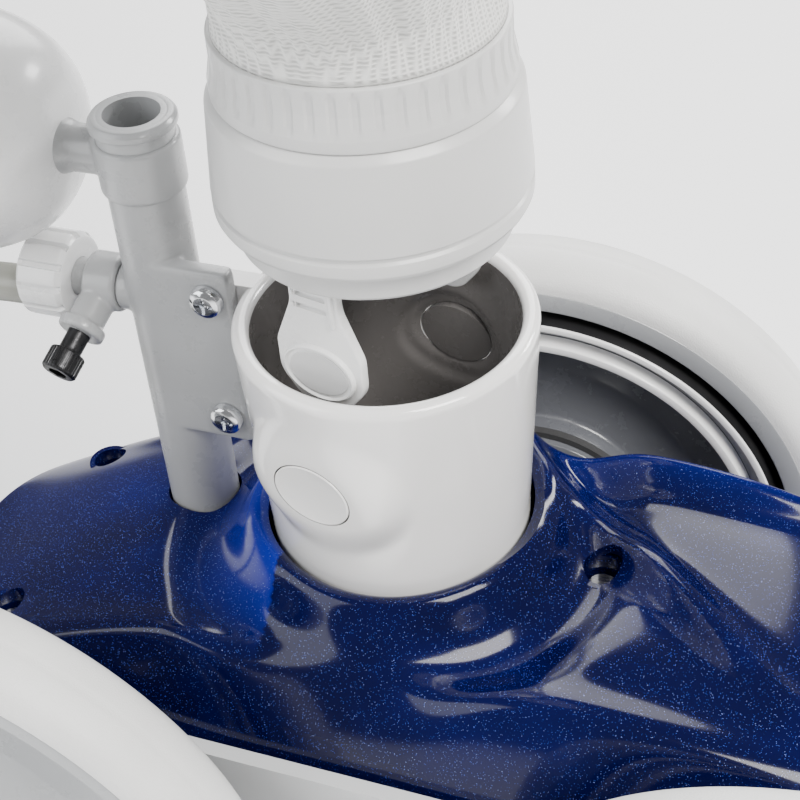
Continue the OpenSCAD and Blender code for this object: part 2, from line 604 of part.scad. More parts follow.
// Feed pipe with its flange, the float and the sweep hose fittings
module feed_pipe() color("lightgray") difference() {
    union() {
        translate([pipe_x, pipe_y, pipe_foot_z]) cylinder(r = pipe_r, h = pipe_top_z - pipe_foot_z);
        translate([pipe_x, pipe_y, pipe_top_z - 3]) cylinder(r = pipe_r + pipe_lip, h = 2);
        translate([pipe_x, flange_y, flange_low_z]) cube([flange_x + 6 - pipe_x, flange_t, flange_h]);
        translate([barb_x + 3, pipe_y, hose_z]) rotate([0, 90, 0]) cylinder(r = 6.6, h = pipe_r + 2);
    }
    translate([pipe_x, pipe_y, 0]) cylinder(r = pipe_bore_r, h = 2 * pipe_top_z);
    translate([barb_x, pipe_y, hose_z]) rotate([0, 90, 0]) cylinder(r = 2.6, h = pipe_r + 4);
    for (z = flange_zs) along_y(flange_x, flange_y - 5, z) cylinder(r = flange_hole_r + 0.2, h = 40);
}
module flange_screws() color("silver") for (z = flange_zs) along_y(flange_x, flange_y, z) {
    cylinder(r = flange_hole_r, h = flange_t + lug_t);
    difference() {
        translate([0, 0, -3]) cylinder(r1 = 3.9, r2 = 4.6, h = 3);
        for (a = [0, 90]) rotate([0, 0, a]) translate([-2.6, -0.45, -4]) cube([5.2, 0.9, 2.4]);
    }
}
// The float is two thin cups joined at the middle
function float_line(r, l, a0, a1) =
    [for (i = [0 : 14]) let (a = a0 + (a1 - a0) * i / 14) [r * pow(max(0, cos(a)), 0.62), l * sin(a)]];
module float_half_cup(s) translate([float_x, pipe_y, float_z]) rotate([0, 90, 0])
    rotate_extrude() polygon(concat(
        float_line(float_r, float_half, 0, 90 * s),
        float_line(float_r - float_wall, float_half - float_wall, 90 * s, 0)));
module float_front() color("white") float_half_cup(1);
module float_back() color("white") float_half_cup(-1);
module float_clip() color("white") difference() {
    union() {
        translate([pipe_x, pipe_y, float_z - 9]) cylinder(r = pipe_r + 3, h = 14);
        translate([float_x + float_half - 1.5, pipe_y, float_z - 1]) rotate([0, 90, 0])
            cylinder(r = 6, h = pipe_x - float_x - float_half);
    }
    translate([pipe_x, pipe_y, float_z - 20]) cylinder(r = pipe_r, h = 50);
    translate([float_x, pipe_y, float_z]) rotate([0, 90, 0]) rotate_extrude()
        polygon(concat([[0, 0]], float_line(float_r, float_half, 0, 90)));
}
module along_adjuster() translate([adjust_x, pipe_y, hose_z]) rotate(adjust_dir) children();
module hose_barb() color("white") difference() {
    union() {
        translate([barb_x + 3, pipe_y, hose_z]) rotate([0, -90, 0]) {
            cylinder(r = 7.6, h = 9);
            cylinder(r = 5, h = 16);
            for (z = [6.6, 8.4]) translate([0, 0, z - 0.6]) cylinder(r = 8.2, h = 1.2);
        }
        along_adjuster() cylinder(r = adjust_r, h = adjust_lip_z + 1);
        along_adjuster() translate([0, 0, adjust_lip_z]) cylinder(r = adjust_r + 1.4, h = 3);
    }
    translate([barb_x + 4, pipe_y, hose_z]) rotate([0, -90, 0]) cylinder(r = 2.6, h = 30);
    along_adjuster() cylinder(r = screw_r + fit, h = 40);
}
module hose_nut() color("white") translate([nut_x + 2, pipe_y, hose_z]) rotate([0, -90, 0]) difference() {
    union() {
        cylinder(r = nut_r - 1.2, h = nut_w);
        for (i = [0 : nut_teeth - 1]) rotate([0, 0, 360 * i / nut_teeth])
            translate([nut_r - 2.4, -1.8, 1.4]) cube([2.4, 3.6, nut_w - 2.8]);
    }
    translate([0, 0, -1]) cylinder(r = 5, h = 9);
    translate([0, 0, 7]) cylinder(r = hose_d / 2, h = nut_w);
}
module adjusting_screw() color("dimgray") along_adjuster() {
    translate([0, 0, 4]) cylinder(r = screw_r, h = adjust_head_z - 4);
    translate([0, 0, adjust_head_z]) difference() {
        cylinder(r = 4.7, h = 6);
        translate([0, 0, 2.6]) cylinder(r = 2.7, h = 6, $fn = 6);
    }
}
module shell_screws() color("silver") for (p = shell_screw_at)
    translate([p[0], p[1], 0]) {
        translate([0, 0, screw_z(p)]) cylinder(r = 3.8, h = 2.6);
        translate([0, 0, belt_z - 10]) cylinder(r = 1.8, h = screw_z(p) - belt_z + 10);
    }

// Hose swept along its route
function unit(v) = v / norm(v);
function route_dir(p, i) = unit(p[min(i + 1, len(p) - 1)] - p[max(i - 1, 0)]);
function hose_ring(p, i) =
    let (t = route_dir(p, i), side = unit(cross(t, [0, 1, 0.001])), up = cross(side, t))
    [for (k = [0 : hose_sides - 1]) let (a = 360 * k / hose_sides)
        p[i] + hose_d / 2 * (cos(a) * side + sin(a) * up)];
module hose_tube(p) {
    n = hose_sides;
    m = len(p);
    color("darkkhaki") polyhedron(
        points = [for (i = [0 : m - 1]) each hose_ring(p, i)],
        faces = concat(
            [for (i = [0 : m - 2]) for (k = [0 : n - 1]) each
                let (a = i * n + k, b = i * n + (k + 1) % n) [[a, b, a + n], [b, b + n, a + n]]],
            [[for (k = [n - 1 : -1 : 0]) k], [for (k = [0 : n - 1]) (m - 1) * n + k]]));
}
module sweep_hose() hose_tube(hose_route);
module sweep_hose_tail() hose_tube(tail_route);
module sweep_hose_coil() color("darkkhaki") translate([coil_x, coil_y, 0]) difference() {
    cylinder(r = coil_mid_r + coil_turn_w / 2, h = 2 * hose_d);
    translate([0, 0, -1]) cylinder(r = coil_mid_r - coil_turn_w / 2, h = 2 * hose_d + 2);
}
module tail_scrubber() color("gray") translate(tail_route[len(tail_route) - 1]) rotate([-90, 0, 0])
    translate([0, 0, -scrub_grip]) difference() {
        cylinder(r = scrub_r, h = scrub_l);
        translate([0, 0, -1]) cylinder(r = hose_d / 2, h = scrub_grip + 1);
    }

base_frame();
near_side_panel();
far_side_panel();
panel_screws();
rear_axle();
front_axle();
far_axle();
wheel_washers();
wheel_screws();
rear_wheel();
front_wheel();
far_wheel();
rear_tyre();
front_tyre();
far_tyre();
rear_bearings();
front_bearings();
far_bearings();
rear_hub_cap();
front_hub_cap();
far_hub_cap();
turbine_housing();
turbine_cover();
turbine_wheel();
drive_shaft();
shaft_bushes();
near_drive_pulley();
far_drive_pulley();
rear_belt();
front_belt();
far_belt();
water_manifold();
vacuum_jets();
thrust_jet_socket();
thrust_jet_ball();
thrust_jet_ring();
vacuum_tube();
near_release_button();
far_release_button();
bag_collar();
near_snap_arm();
far_snap_arm();
bag_clamp_ring();
filter_bag();
feed_pipe();
flange_screws();
float_front();
float_back();
float_clip();
hose_barb();
hose_nut();
adjusting_screw();
top_shell();
shell_screws();
sweep_hose();
sweep_hose_coil();
sweep_hose_tail();
tail_scrubber();
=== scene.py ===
# Pool cleaner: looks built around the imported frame. Metres, front is +X, up is +Z.
import bpy
import bmesh
import math
import numpy as np
from mathutils import Matrix, Vector


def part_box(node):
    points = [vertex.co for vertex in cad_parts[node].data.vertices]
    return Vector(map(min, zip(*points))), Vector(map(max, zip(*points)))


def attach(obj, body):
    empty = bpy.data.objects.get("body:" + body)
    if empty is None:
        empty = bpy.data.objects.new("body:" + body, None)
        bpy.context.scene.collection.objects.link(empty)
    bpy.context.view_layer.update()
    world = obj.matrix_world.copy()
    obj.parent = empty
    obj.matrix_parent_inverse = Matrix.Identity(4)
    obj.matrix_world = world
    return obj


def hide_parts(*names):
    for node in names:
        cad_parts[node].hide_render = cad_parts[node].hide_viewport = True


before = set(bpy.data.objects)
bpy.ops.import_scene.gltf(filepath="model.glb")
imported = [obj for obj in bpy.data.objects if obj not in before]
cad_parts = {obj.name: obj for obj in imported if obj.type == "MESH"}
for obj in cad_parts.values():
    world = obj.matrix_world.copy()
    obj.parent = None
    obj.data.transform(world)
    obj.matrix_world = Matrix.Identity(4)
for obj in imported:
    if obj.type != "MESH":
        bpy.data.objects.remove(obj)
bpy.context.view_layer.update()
mm = 0.001
tau = 2 * math.pi
print("frame loaded:", len(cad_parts), "nodes")


# Camera and light
cameraView = dict(turn=22.47, down=40.58, roll=-4.84, focal=2.0, sensor=36.0, at=(99.4, -271.1, 437.5))


def makeCamera(view):
    turn, down, roll = (math.radians(view[k]) for k in ("turn", "down", "roll"))
    right = Vector((math.cos(turn), math.sin(turn), 0))
    ahead = Vector((-math.sin(turn) * math.cos(down), math.cos(turn) * math.cos(down), -math.sin(down)))
    up = right.cross(ahead)
    side = right * math.cos(roll) + up * math.sin(roll)
    top = up * math.cos(roll) - right * math.sin(roll)
    data = bpy.data.cameras.new("camera")
    data.sensor_width = view["sensor"]
    data.lens = view["focal"] * view["sensor"]
    data.clip_start = 0.01
    cam = bpy.data.objects.new("camera", data)
    bpy.context.scene.collection.objects.link(cam)
    cam.matrix_world = Matrix.Translation(Vector(view["at"]) * mm) @ Matrix((side, top,
        -ahead)).transposed().to_4x4()
    bpy.context.scene.camera = cam


# Each light: place in metres, what it looks at, its size and its power in watts
studioLights = dict(
    key=dict(at=(0.9, -0.5, 1.5), to=(0, 0, 0.2), size=0.8, power=52, tint=(1, 0.985, 0.96)),
    fill=dict(at=(-1.1, -0.9, 0.9), to=(0, 0, 0.15), size=1.2, power=20, tint=(0.96, 0.98, 1)),
    back=dict(at=(-0.3, 1.5, 1.1), to=(0, 0, 0.15), size=1.2, power=34, tint=(1, 1, 1)),
    strip=dict(at=(0.75, 0.9, 0.75), to=(0, 0, 0.15), size=0.3, power=9, tint=(1, 1, 1)))
worldLevel = 0.34
floorTint = (0.93, 0.93, 0.935)


def makeLights(lights):
    for name, l in lights.items():
        data = bpy.data.lights.new(name, "AREA")
        data.energy = l["power"]
        data.size = l["size"]
        data.color = l["tint"]
        lamp = bpy.data.objects.new(name, data)
        bpy.context.scene.collection.objects.link(lamp)
        at = Vector(l["at"])
        lamp.matrix_world = Matrix.Translation(at) @ (Vector(l["to"]) - at).to_track_quat("-Z",
            "Y").to_matrix().to_4x4()
    world = bpy.data.worlds.new("studio")
    bpy.context.scene.world = world
    world.use_nodes = True
    world.node_tree.nodes["Background"].inputs["Color"].default_value = (1, 1, 1, 1)
    world.node_tree.nodes["Background"].inputs["Strength"].default_value = worldLevel


# Mesh helpers; every size in them is in millimetres
def meshObject(name, points, faces, material=None, smooth=True):
    # A mesh from an array of points in millimetres and a list or array of faces
    mesh = bpy.data.meshes.new(name)
    mesh.from_pydata((np.asarray(points, float) * mm).tolist(), [],
        np.asarray(faces).tolist() if isinstance(faces, np.ndarray) else faces)
    mesh.validate()
    mesh.update()
    mesh.polygons.foreach_set("use_smooth", np.full(len(mesh.polygons), smooth))
    obj = bpy.data.objects.new(name, mesh)
    bpy.context.scene.collection.objects.link(obj)
    for one in (material if isinstance(material, (list, tuple)) else [material] if material else []):
        mesh.materials.append(one)
    return obj


def gridFaces(rows, cols, wrapRows=False, wrapCols=False, start=0, flip=False):
    # Quads that join neighbouring points of a rows x cols grid, round the ends where it wraps
    r = np.arange(rows if wrapRows else rows - 1)
    c = np.arange(cols if wrapCols else cols - 1)
    rr, cc = np.meshgrid(r, c, indexing="ij")
    r2, c2 = (rr + 1) % rows, (cc + 1) % cols
    quads = np.stack([rr * cols + cc, rr * cols + c2, r2 * cols + c2, r2 * cols + cc], -1).reshape(-1,
        4) + start
    return quads[:, ::-1] if flip else quads


def filleted(corners, radius, steps=5):
    # A closed outline with each corner replaced by an arc that touches both of its sides
    pts = np.asarray(corners, float)
    radii = np.broadcast_to(radius, len(pts)).astype(float)
    out = []
    for k, p in enumerate(pts):
        a, b = pts[k - 1] - p, pts[(k + 1) % len(pts)] - p
        la, lb = np.linalg.norm(a), np.linalg.norm(b)
        a, b = a / la, b / lb
        half = math.acos(max(-1, min(1, float(a @ b)))) / 2
        cut = min(radii[k] / math.tan(half), 0.45 * la, 0.45 * lb) if half < 1.55 else 0
        if cut < 1e-4:
            out.append(p[None])
            continue
        r = cut * math.tan(half)
        centre = p + (a + b) / np.linalg.norm(a + b) * (r / math.sin(half))
        s, e = p + a * cut - centre, p + b * cut - centre
        a0 = math.atan2(s[1], s[0])
        turn = (math.atan2(e[1], e[0]) - a0 + math.pi) % tau - math.pi
        t = a0 + turn * np.linspace(0, 1, steps)
        out.append(centre + r * np.stack([np.cos(t), np.sin(t)], -1))
    return np.concatenate(out)


def axisFrame(direction):
    # Two unit vectors across a direction, and the direction itself
    d = np.asarray(direction, float) / np.linalg.norm(direction)
    other = np.array([0, 0, 1.0]) if abs(d[2]) < 0.9 else np.array([1.0, 0, 0])
    u = np.cross(other, d)
    u /= np.linalg.norm(u)
    return u, np.cross(d, u), d


def revolve(name, outline, at, direction=(0, 0, 1), segments=128, material=None, radial=None,
        faceMaterial=None):
    # A closed outline of (radius, height) carried round an axis; radial may move
    # each radius by angle and height
    outline = np.asarray(outline, float)
    u, v, d = axisFrame(direction)
    ang = np.arange(segments) * tau / segments
    r = np.repeat(outline[:, :1], segments, 1)
    h = np.repeat(outline[:, 1:2], segments, 1)
    if radial is not None:
        r = radial(r, h, ang[None])
    pts = np.asarray(at, float) + (r * np.cos(ang))[..., None] * u + (r * np.sin(ang))[...,
        None] * v + h[..., None] * d
    faces = gridFaces(len(outline), segments, True, True)
    obj = meshObject(name, pts.reshape(-1, 3), faces, material)
    tidyMesh(obj)
    if faceMaterial is not None:
        local = meshArray(obj.data.polygons, "center") / mm - np.asarray(at, float)
        rad = np.hypot(local @ u, local @ v)
        obj.data.polygons.foreach_set("material_index", faceMaterial(rad, local @ d).astype(np.int32))
    return obj


def meshArray(items, key, width=3):
    # One row for each vertex, face or loop
    out = np.zeros(len(items) * width)
    items.foreach_get(key, out)
    return out.reshape(-1, width)


def tidyMesh(obj, merge=1e-6):
    # Joins doubled points, drops empty faces and turns every face outwards
    bm = bmesh.new()
    bm.from_mesh(obj.data)
    bmesh.ops.remove_doubles(bm, verts=bm.verts, dist=merge)
    bmesh.ops.dissolve_degenerate(bm, edges=bm.edges, dist=merge)
    bmesh.ops.recalc_face_normals(bm, faces=bm.faces)
    bm.to_mesh(obj.data)
    bm.free()
    obj.data.update()


def applyModifiers(obj):
    # Writes the evaluated mesh back, so that nothing stays live on the piece
    graph = bpy.context.evaluated_depsgraph_get()
    mesh = bpy.data.meshes.new_from_object(obj.evaluated_get(graph))
    old = obj.data
    obj.modifiers.clear()
    obj.data = mesh
    mesh.name = obj.name
    bpy.data.meshes.remove(old)


def cutWith(obj, cutters, operation="DIFFERENCE"):
    for cutter in cutters:
        mod = obj.modifiers.new("cut", "BOOLEAN")
        mod.operation = operation
        mod.solver = "EXACT"
        mod.object = cutter
        applyModifiers(obj)
        mesh = cutter.data
        bpy.data.objects.remove(cutter)
        bpy.data.meshes.remove(mesh)
    return obj


def smoothByAngle(obj, degrees=40):
    obj.data.shade_smooth()
    obj.data.set_sharp_from_angle(angle=math.radians(degrees))


def melt(name, parts, voxel, rounds, material):
    # Joins rough solids into one moulded piece: remeshed on a fine grid and smoothed so that its corners fill
    bm = bmesh.new()
    for part in parts:
        bm.from_mesh(part.data)
    mesh = bpy.data.meshes.new(name)
    bm.to_mesh(mesh)
    bm.free()
    for part in parts:
        old = part.data
        bpy.data.objects.remove(part)
        bpy.data.meshes.remove(old)
    obj = bpy.data.objects.new(name, mesh)
    bpy.context.scene.collection.objects.link(obj)
    mod = obj.modifiers.new("grid", "REMESH")
    mod.mode = "VOXEL"
    mod.voxel_size = voxel * mm
    mod.adaptivity = 0
    fair = obj.modifiers.new("fair", "SMOOTH")
    fair.factor = 0.5
    fair.iterations = rounds
    applyModifiers(obj)
    obj.data.shade_smooth()
    obj.data.materials.clear()
    obj.data.materials.append(material)
    return obj


def block(name, low, high, radius=0.6, material=None, steps=3):
    # A box whose twelve edges are rounded by a bevel
    low, high = np.asarray(low, float), np.asarray(high, float)
    corner = np.array([[x, y, z] for x in (0, 1) for y in (0, 1) for z in (0, 1)], float)
    faces = [(0, 1, 3, 2), (4, 6, 7, 5), (0, 4, 5, 1), (2, 3, 7, 6), (0, 2, 6, 4), (1, 5, 7, 3)]
    obj = meshObject(name, low + corner * (high - low), faces, material)
    if radius > 0:
        mod = obj.modifiers.new("round", "BEVEL")
        mod.width = radius * mm
        mod.segments = steps
        mod.limit_method = "NONE"
        applyModifiers(obj)
    tidyMesh(obj)
    return obj


def rod(name, at, direction, radius, length, segments=64, bevel=0.4, material=None):
    # A solid round bar with eased ends
    outline = [(0, 0), (radius - bevel, 0), (radius, bevel), (radius, length - bevel),
        (radius - bevel, length), (0, length)]
    return revolve(name, outline, at, direction, segments, material)


# Materials
def newMaterial(name):
    mat = bpy.data.materials.new(name)
    mat.use_nodes = True
    tree = mat.node_tree
    return mat, tree, tree.nodes["Principled BSDF"]


def addNode(tree, kind, **values):
    node = tree.nodes.new(kind)
    for key, value in values.items():
        if key in node.inputs:
            node.inputs[key].default_value = value
        else:
            setattr(node, key, value)
    return node


def texture(tree, kind, where, **values):
    # A texture node that reads the given coordinates
    node = addNode(tree, "ShaderNodeTex" + kind, **values)
    tree.links.new(where, node.inputs["Vector"])
    return node


def objectCoords(tree, scale=(1, 1, 1)):
    coords = addNode(tree, "ShaderNodeTexCoord")
    place = addNode(tree, "ShaderNodeMapping", Scale=scale)
    tree.links.new(coords.outputs["Object"], place.inputs["Vector"])
    return place.outputs["Vector"]


def ramp(tree, source, stops):
    node = addNode(tree, "ShaderNodeValToRGB")
    bar = node.color_ramp
    while len(bar.elements) < len(stops):
        bar.elements.new(0.5)
    for element, (place, colour) in zip(bar.elements, stops):
        element.position = place
        element.color = (*colour, 1) if len(colour) == 3 else colour
    tree.links.new(source, node.inputs["Fac"])
    return node.outputs["Color"]


def mouldedPlastic(name, tint, shade=0.04, rough=(0.16, 0.3), grain=0.02, grainScale=900, soft=0.06,
        coat=0.25, blotch=22):
    # Moulded plastic: slow shade changes, a faint orange peel and roughness that varies with handling
    mat, tree, shader = newMaterial(name)
    where = objectCoords(tree)
    slow = texture(tree, "Noise", where, Scale=blotch, Detail=3.0, Roughness=0.5)
    dark = tuple(c * (1 - shade) for c in tint)
    light = tuple(min(1, c * (1 + shade * 0.5)) for c in tint)
    tree.links.new(ramp(tree, slow.outputs["Fac"], [(0.3, dark), (0.7, light)]), shader.inputs["Base Color"])
    fine = texture(tree, "Noise", where, Scale=grainScale, Detail=2.0)
    scuffs = texture(tree, "Noise", where, Scale=90.0, Detail=5.0, Roughness=0.65)
    r0, r1 = rough
    tree.links.new(ramp(tree, scuffs.outputs["Fac"], [(0.35, (r0,) * 3), (0.7, (r1,) * 3)]),
        shader.inputs["Roughness"])
    bump = addNode(tree, "ShaderNodeBump", Strength=grain * 5, Distance=0.0002)
    tree.links.new(fine.outputs["Fac"], bump.inputs["Height"])
    tree.links.new(bump.outputs["Normal"], shader.inputs["Normal"])
    shader.inputs["Subsurface Weight"].default_value = soft
    shader.inputs["Subsurface Radius"].default_value = (0.004, 0.0035, 0.003)
    shader.inputs["Coat Weight"].default_value = coat
    shader.inputs["Coat Roughness"].default_value = 0.08
    return mat


def flakeBlue(name, deep, bright, clear, flakes=0.5):
    # Moulded clear blue plastic: a dark tint that lightens where an attribute marks a painted glow, light shining
    # through the plastic painted into the colour, with a fine field of metal flakes at two sizes
    mat, tree, shader = newMaterial(name)
    where = objectCoords(tree)
    # painted glow: the attribute read here brightens the blue where light shines through the plastic
    thin = addNode(tree, "ShaderNodeAttribute", attribute_name="thin")
    slow = texture(tree, "Noise", where, Scale=26.0, Detail=2.0)
    wave = addNode(tree, "ShaderNodeMath", operation="MULTIPLY_ADD")
    tree.links.new(slow.outputs["Fac"], wave.inputs[0])
    wave.inputs[1].default_value = 0.35
    wave.inputs[2].default_value = -0.17
    sumNode = addNode(tree, "ShaderNodeMath", operation="ADD", use_clamp=True)
    tree.links.new(thin.outputs["Fac"], sumNode.inputs[0])
    tree.links.new(wave.outputs[0], sumNode.inputs[1])
    tint = ramp(tree, sumNode.outputs[0], [(0.0, deep),
        (0.55, tuple((a + b) / 2 for a, b in zip(deep, bright))), (1.0, bright)])
    masks = []
    for size, cut in ((2800.0, 0.22), (1500.0, 0.14)):
        cells = texture(tree, "Voronoi", where, Scale=size, feature="F1")
        dot = addNode(tree, "ShaderNodeMath", operation="LESS_THAN")
        tree.links.new(cells.outputs["Distance"], dot.inputs[0])
        dot.inputs[1].default_value = cut
        pick = addNode(tree, "ShaderNodeSeparateColor")
        tree.links.new(cells.outputs["Color"], pick.inputs[0])
        keep = addNode(tree, "ShaderNodeMath", operation="LESS_THAN")
        tree.links.new(pick.outputs[0], keep.inputs[0])
        keep.inputs[1].default_value = flakes
        both = addNode(tree, "ShaderNodeMath", operation="MULTIPLY")
        tree.links.new(dot.outputs[0], both.inputs[0])
        tree.links.new(keep.outputs[0], both.inputs[1])
        masks.append((both.outputs[0], pick.outputs[1]))
    flake = addNode(tree, "ShaderNodeMath", operation="MAXIMUM")
    tree.links.new(masks[0][0], flake.inputs[0])
    tree.links.new(masks[1][0], flake.inputs[1])
    flakeTint = ramp(tree, masks[0][1], [(0.0, (0.01, 0.03, 0.2)), (0.6, (0.05, 0.1, 0.5)),
        (1.0, (0.25, 0.32, 0.7))])
    mix = addNode(tree, "ShaderNodeMix", data_type="RGBA")
    tree.links.new(flake.outputs[0], mix.inputs["Factor"])
    tree.links.new(tint, mix.inputs["A"])
    tree.links.new(flakeTint, mix.inputs["B"])
    tree.links.new(mix.outputs["Result"], shader.inputs["Base Color"])
    shader.inputs["Transmission Weight"].default_value = clear
    shader.inputs["Roughness"].default_value = 0.12
    shader.inputs["Specular IOR Level"].default_value = 0.28
    shader.inputs["IOR"].default_value = 1.42
    shader.inputs["Coat Weight"].default_value = 0.06
    shader.inputs["Coat Roughness"].default_value = 0.03
    return mat


def brushedSteel(name, tint, rough=0.28):
    # Metal with fine scratches that stretch along X and a roughness that follows them
    mat, tree, shader = newMaterial(name)
    where = objectCoords(tree, (120, 1400, 1400))
    scratches = texture(tree, "Noise", where, Scale=1.0, Detail=4.0)
    low, high = rough * 0.7, rough * 1.4
    tree.links.new(ramp(tree, scratches.outputs["Fac"], [(0.3, (low,) * 3), (0.7, (high,) * 3)]),
        shader.inputs["Roughness"])
    dark = tuple(c * 0.82 for c in tint)
    tree.links.new(ramp(tree, scratches.outputs["Fac"], [(0.2, dark), (0.8, tint)]),
        shader.inputs["Base Color"])
    shader.inputs["Metallic"].default_value = 1.0
    return mat


def softRubber(name, tint, rough=0.6, grainScale=2600):
    # Rubber or foam: fine pits from a cell pattern over a slow stain
    mat, tree, shader = newMaterial(name)
    where = objectCoords(tree)
    pits = texture(tree, "Voronoi", where, Scale=grainScale)
    stain = texture(tree, "Noise", where, Scale=35.0, Detail=4.0)
    dark = tuple(c * 0.9 for c in tint)
    tree.links.new(ramp(tree, stain.outputs["Fac"], [(0.3, dark), (0.7, tint)]), shader.inputs["Base Color"])
    bump = addNode(tree, "ShaderNodeBump", Strength=0.25, Distance=0.0003)
    tree.links.new(pits.outputs["Distance"], bump.inputs["Height"])
    tree.links.new(bump.outputs["Normal"], shader.inputs["Normal"])
    shader.inputs["Roughness"].default_value = rough
    return mat


def meshCloth(name, tint, pitch=0.0011):
    # Fine woven filter cloth: two crossed sets of threads along the piece's own UV, with the open gaps between them
    # painted darker as painted shade
    mat, tree, shader = newMaterial(name)
    uv = addNode(tree, "ShaderNodeUVMap", uv_map="weave")
    threads = []
    for axis in ("X", "Y"):
        wave = texture(tree, "Wave", uv.outputs["UV"], Scale=tau / (20 * pitch), wave_type="BANDS",
            bands_direction=axis, wave_profile="SIN")
        threads.append(wave.outputs["Fac"])
    weave = addNode(tree, "ShaderNodeMath", operation="MAXIMUM")
    tree.links.new(threads[0], weave.inputs[0])
    tree.links.new(threads[1], weave.inputs[1])
    stain = texture(tree, "Noise", objectCoords(tree), Scale=14.0, Detail=4.0)
    blend = addNode(tree, "ShaderNodeMix", data_type="RGBA")
    tree.links.new(weave.outputs[0], blend.inputs["Factor"])
    # painted shade: the gaps between threads drawn at about half the thread colour
    blend.inputs["A"].default_value = (*(c * 0.55 for c in tint), 1)
    blend.inputs["B"].default_value = (*tint, 1)
    worn = addNode(tree, "ShaderNodeMix", data_type="RGBA", blend_type="MULTIPLY")
    worn.inputs["Factor"].default_value = 0.35
    tree.links.new(blend.outputs["Result"], worn.inputs["A"])
    tree.links.new(ramp(tree, stain.outputs["Fac"], [(0.3, (0.75, 0.74, 0.7)), (0.7, (1, 1, 1))]),
        worn.inputs["B"])
    tree.links.new(worn.outputs["Result"], shader.inputs["Base Color"])
    bump = addNode(tree, "ShaderNodeBump", Strength=0.5, Distance=0.0004)
    tree.links.new(weave.outputs[0], bump.inputs["Height"])
    tree.links.new(bump.outputs["Normal"], shader.inputs["Normal"])
    shader.inputs["Roughness"].default_value = 0.8
    shader.inputs["Sheen Weight"].default_value = 0.25
    return mat


tubeWhite = mouldedPlastic("tubeWhite", (0.86, 0.85, 0.84), rough=(0.1, 0.2), coat=0.6)
# Painted shade: the inside of the white tube drawn dark grey for the shadow inside it
tubeShadeInside = mouldedPlastic("tubeShadeInside", (0.17, 0.16, 0.155), shade=0.12, rough=(0.22, 0.34), soft=0.0,
    coat=0.3)
collarWhite = mouldedPlastic("collarWhite", (0.56, 0.56, 0.555), rough=(0.28, 0.42), coat=0.15)
armWhite = mouldedPlastic("armWhite", (0.8, 0.8, 0.795), rough=(0.2, 0.32))
padGrey = mouldedPlastic("padGrey", (0.6, 0.6, 0.6), rough=(0.3, 0.42), coat=0.1)
pipeGrey = mouldedPlastic("pipeGrey", (0.4, 0.405, 0.41), shade=0.08, rough=(0.24, 0.38))
floatWhite = mouldedPlastic("floatWhite", (0.78, 0.78, 0.78), rough=(0.22, 0.34))
jetWhite = mouldedPlastic("jetWhite", (0.7, 0.7, 0.69), rough=(0.3, 0.45))
sideWhite = mouldedPlastic("sideWhite", (0.6, 0.61, 0.62), rough=(0.3, 0.45))
tyreWhite = softRubber("tyreWhite", (0.8, 0.8, 0.79), rough=0.42)
wheelDark = mouldedPlastic("wheelDark", (0.13, 0.135, 0.15), shade=0.15, rough=(0.18, 0.32), soft=0.0,
    coat=0.5)
# Grey plastic, also used as painted shade on the ring just inside the tyre
wheelGreyAndShade = mouldedPlastic("wheelGreyAndShade", (0.36, 0.37, 0.38), rough=(0.25, 0.4))
wheelRing = mouldedPlastic("wheelRing", (0.85, 0.85, 0.85), rough=(0.2, 0.3))
# Near black: painted shade for the deep groove in the wheel face
paintedGrooveShade = mouldedPlastic("paintedGrooveShade", (0.012, 0.012, 0.013), rough=(0.3, 0.5), soft=0.0)
turbineBlue = mouldedPlastic("turbineBlue", (0.03, 0.16, 0.6), rough=(0.25, 0.4))
frameBlue = flakeBlue("frameBlue", (0.006, 0.016, 0.2), (0.01, 0.07, 0.75), 0.0, 0.3)
shellBlue = flakeBlue("shellBlue", (0.0008, 0.0012, 0.026), (0.003, 0.014, 0.36), 0.05, 0.32)
steel = brushedSteel("steel", (0.62, 0.62, 0.63))
blackSteel = brushedSteel("blackSteel", (0.05, 0.05, 0.052), rough=0.34)
chrome = brushedSteel("chrome", (0.75, 0.76, 0.78), rough=0.12)
beltRubber = softRubber("beltRubber", (0.05, 0.05, 0.052))
hoseOlive = mouldedPlastic("hoseOlive", (0.3, 0.3, 0.26), shade=0.1, rough=(0.3, 0.42), soft=0.1)
scrubberFoam = softRubber("scrubberFoam", (0.3, 0.31, 0.33), rough=0.85, grainScale=900)
bagCloth = meshCloth("bagCloth", (0.8, 0.8, 0.78))
print("materials made:", len(bpy.data.materials))

# A CAD node that stays as it is gets its finish here
nodeFinish = dict(
    base_frame=frameBlue, near_side_panel=sideWhite, far_side_panel=sideWhite, panel_screws=steel,
    rear_axle=sideWhite, front_axle=sideWhite, far_axle=sideWhite, wheel_washers=steel, wheel_screws=steel,
    rear_bearings=steel, front_bearings=steel, far_bearings=steel,
    turbine_housing=jetWhite, turbine_cover=jetWhite, turbine_wheel=turbineBlue, drive_shaft=steel,
    shaft_bushes=jetWhite, near_drive_pulley=jetWhite, far_drive_pulley=jetWhite,
    rear_belt=beltRubber, front_belt=beltRubber, far_belt=beltRubber, water_manifold=jetWhite,
    shell_screws=steel, vacuum_jets=jetWhite, thrust_jet_socket=jetWhite, thrust_jet_ball=jetWhite,
    thrust_jet_ring=jetWhite)
for node, mat in nodeFinish.items():
    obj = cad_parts[node]
    obj.data.materials.clear()
    obj.data.materials.append(mat)


def settle(obj, body, slot, *nodes):
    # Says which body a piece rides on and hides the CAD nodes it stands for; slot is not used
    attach(obj, body)
    if nodes:
        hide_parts(*nodes)
    return obj


def corners(node):
    low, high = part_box(node)
    return np.array(low) / mm, np.array(high) / mm


